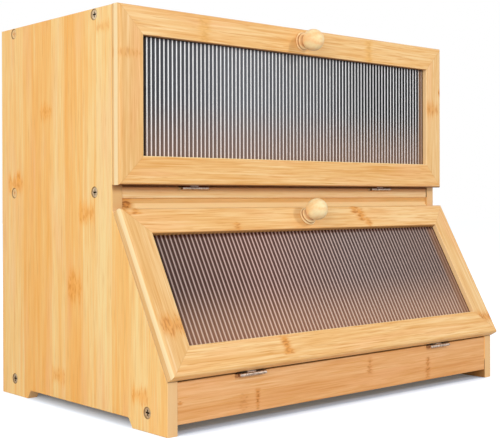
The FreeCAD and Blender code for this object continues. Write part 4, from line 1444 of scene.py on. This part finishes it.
def doors() -> tuple[Door, Door]:
    """Describes the two doors.

    Returns:
        The upright upper door and the leaning lower one.
    """
    upper = Door(
        Tier.UPPER, UPPER_PLACE,
        knots={"left_stile": (Knot(8.5, 105.0, 14, 4.0, 0.35),),
               "top_rail": (Knot(131.0, 86.0, 13, 6.0, 0.42), Knot(127.0, 289.6, 16, 6.0, 0.5)),
               "right_stile": (Knot(385.0, 80.0, 11, 9.0, 0.65), Knot(398.0, 98.0, 3.0, 5.0, 1.0))},
        seeds={"top_rail": 2.0, "bottom_rail": 4.0, "left_stile": 6.0, "right_stile": 8.0},
        tones={"top_rail": 0.57, "bottom_rail": 0.42, "left_stile": 0.36, "right_stile": 0.6},
        # The top rail's reveal is painted brown as shade, the right stile's pale as light, and the bottom rail's
        # band is painted shade.
        edges={"top_rail": {"reveal": "8A5226", "veins": 0.75, "flush": "F0B45A", "mark": "D8984A"},
               "bottom_rail": {"veins": 0.75, "bands": (UPPER_FOOT_SHADE,)},
               "right_stile": {"reveal": "FFD8A0"}})
    lower = Door(
        Tier.LOWER, LOWER_PLACE, knob_tones=("FBD092", "FFEAB8"), strip=((5.4, 4.2),),
        knots={"left_stile": (Knot(14.0, 41.0, 12, 10.0, 0.75),),
               "top_rail": (Knot(141.0, 4.0, 6, 6.0, 0.7), Knot(140.5, 14.0, 4, 6.0, 0.8),
                            Knot(123.0, 114.0, 6, 5.0, 0.7), Knot(139.0, 266.0, 5, 6.0, 0.9),
                            Knot(133.0, 272.0, 7, 7.0, 1.0), Knot(125.0, 279.0, 6, 5.0, 0.8)),
               "bottom_rail": (Knot(14.0, 120.0, 9, 6.0, 1.0),),
               "right_stile": (Knot(389.0, 16.0, 13, 7.0, 0.8),)},
        seeds={"top_rail": 3.0, "bottom_rail": 5.0, "left_stile": 7.0, "right_stile": 9.0},
        tones={"top_rail": 0.56, "bottom_rail": 0.56, "left_stile": 0.36, "right_stile": 0.6},
        # The top rail's reveal is painted brown as shade and carries the pane's painted reflection, the right
        # stile's is painted pale as light, and the bottom rail's band is painted shade.
        edges={"top_rail": {"reveal": "CC9152", "veins": 0.8, "echo": Echo(21.55, 4.3)},
               "bottom_rail": {"veins": 0.75, "bands": (LOWER_FOOT_SHADE,)},
               "right_stile": {"reveal": "FFD8A0"}},
        # The lower pane's pale lines are painted highlights, its body and left and top rims painted shade, and its
        # right rim a painted reflection of the wood.
        pane_finish={"line_share": (0.19, 0.22),
                     "bodies": ((0.0, "4A322C"), (0.3, "64443C"), (0.6, "5A4844"), (1.0, "54423C")),
                     "lines": ((0.0, "AC968F"), (0.3, "D0B0A6"), (0.65, "BCA69F"), (1.0, "AA938B")),
                     "warm": "A87A60", "warm_line": "E0BEA6",
                     "rims": (Rim(5.4, 0.9, 0.6, "3A160A", 0.85), Rim(14.0, 0.6, 0.6, "94694A", 0.6),
                              Rim(4.2, 0.92, 0.7, "46200E", 0.6))})
    return upper, lower


def main() -> None:
    """Builds the scene piece by piece."""
    logging.basicConfig(level=logging.INFO, format="%(name)s: %(message)s")
    metal = PlatedMetal("zinc_plated_steel", "988678", "F0DCCC", 0.3, 2.2).material()
    magnet = PlatedMetal("nickel_plated_magnet", "B9B6AF", "DAD7CF", 0.2, 0.6).material()
    Carcass(metal, magnet).build()
    for door in doors():
        door.build(metal, magnet)
    Studio().build()


if __name__ == "__main__":
    main()
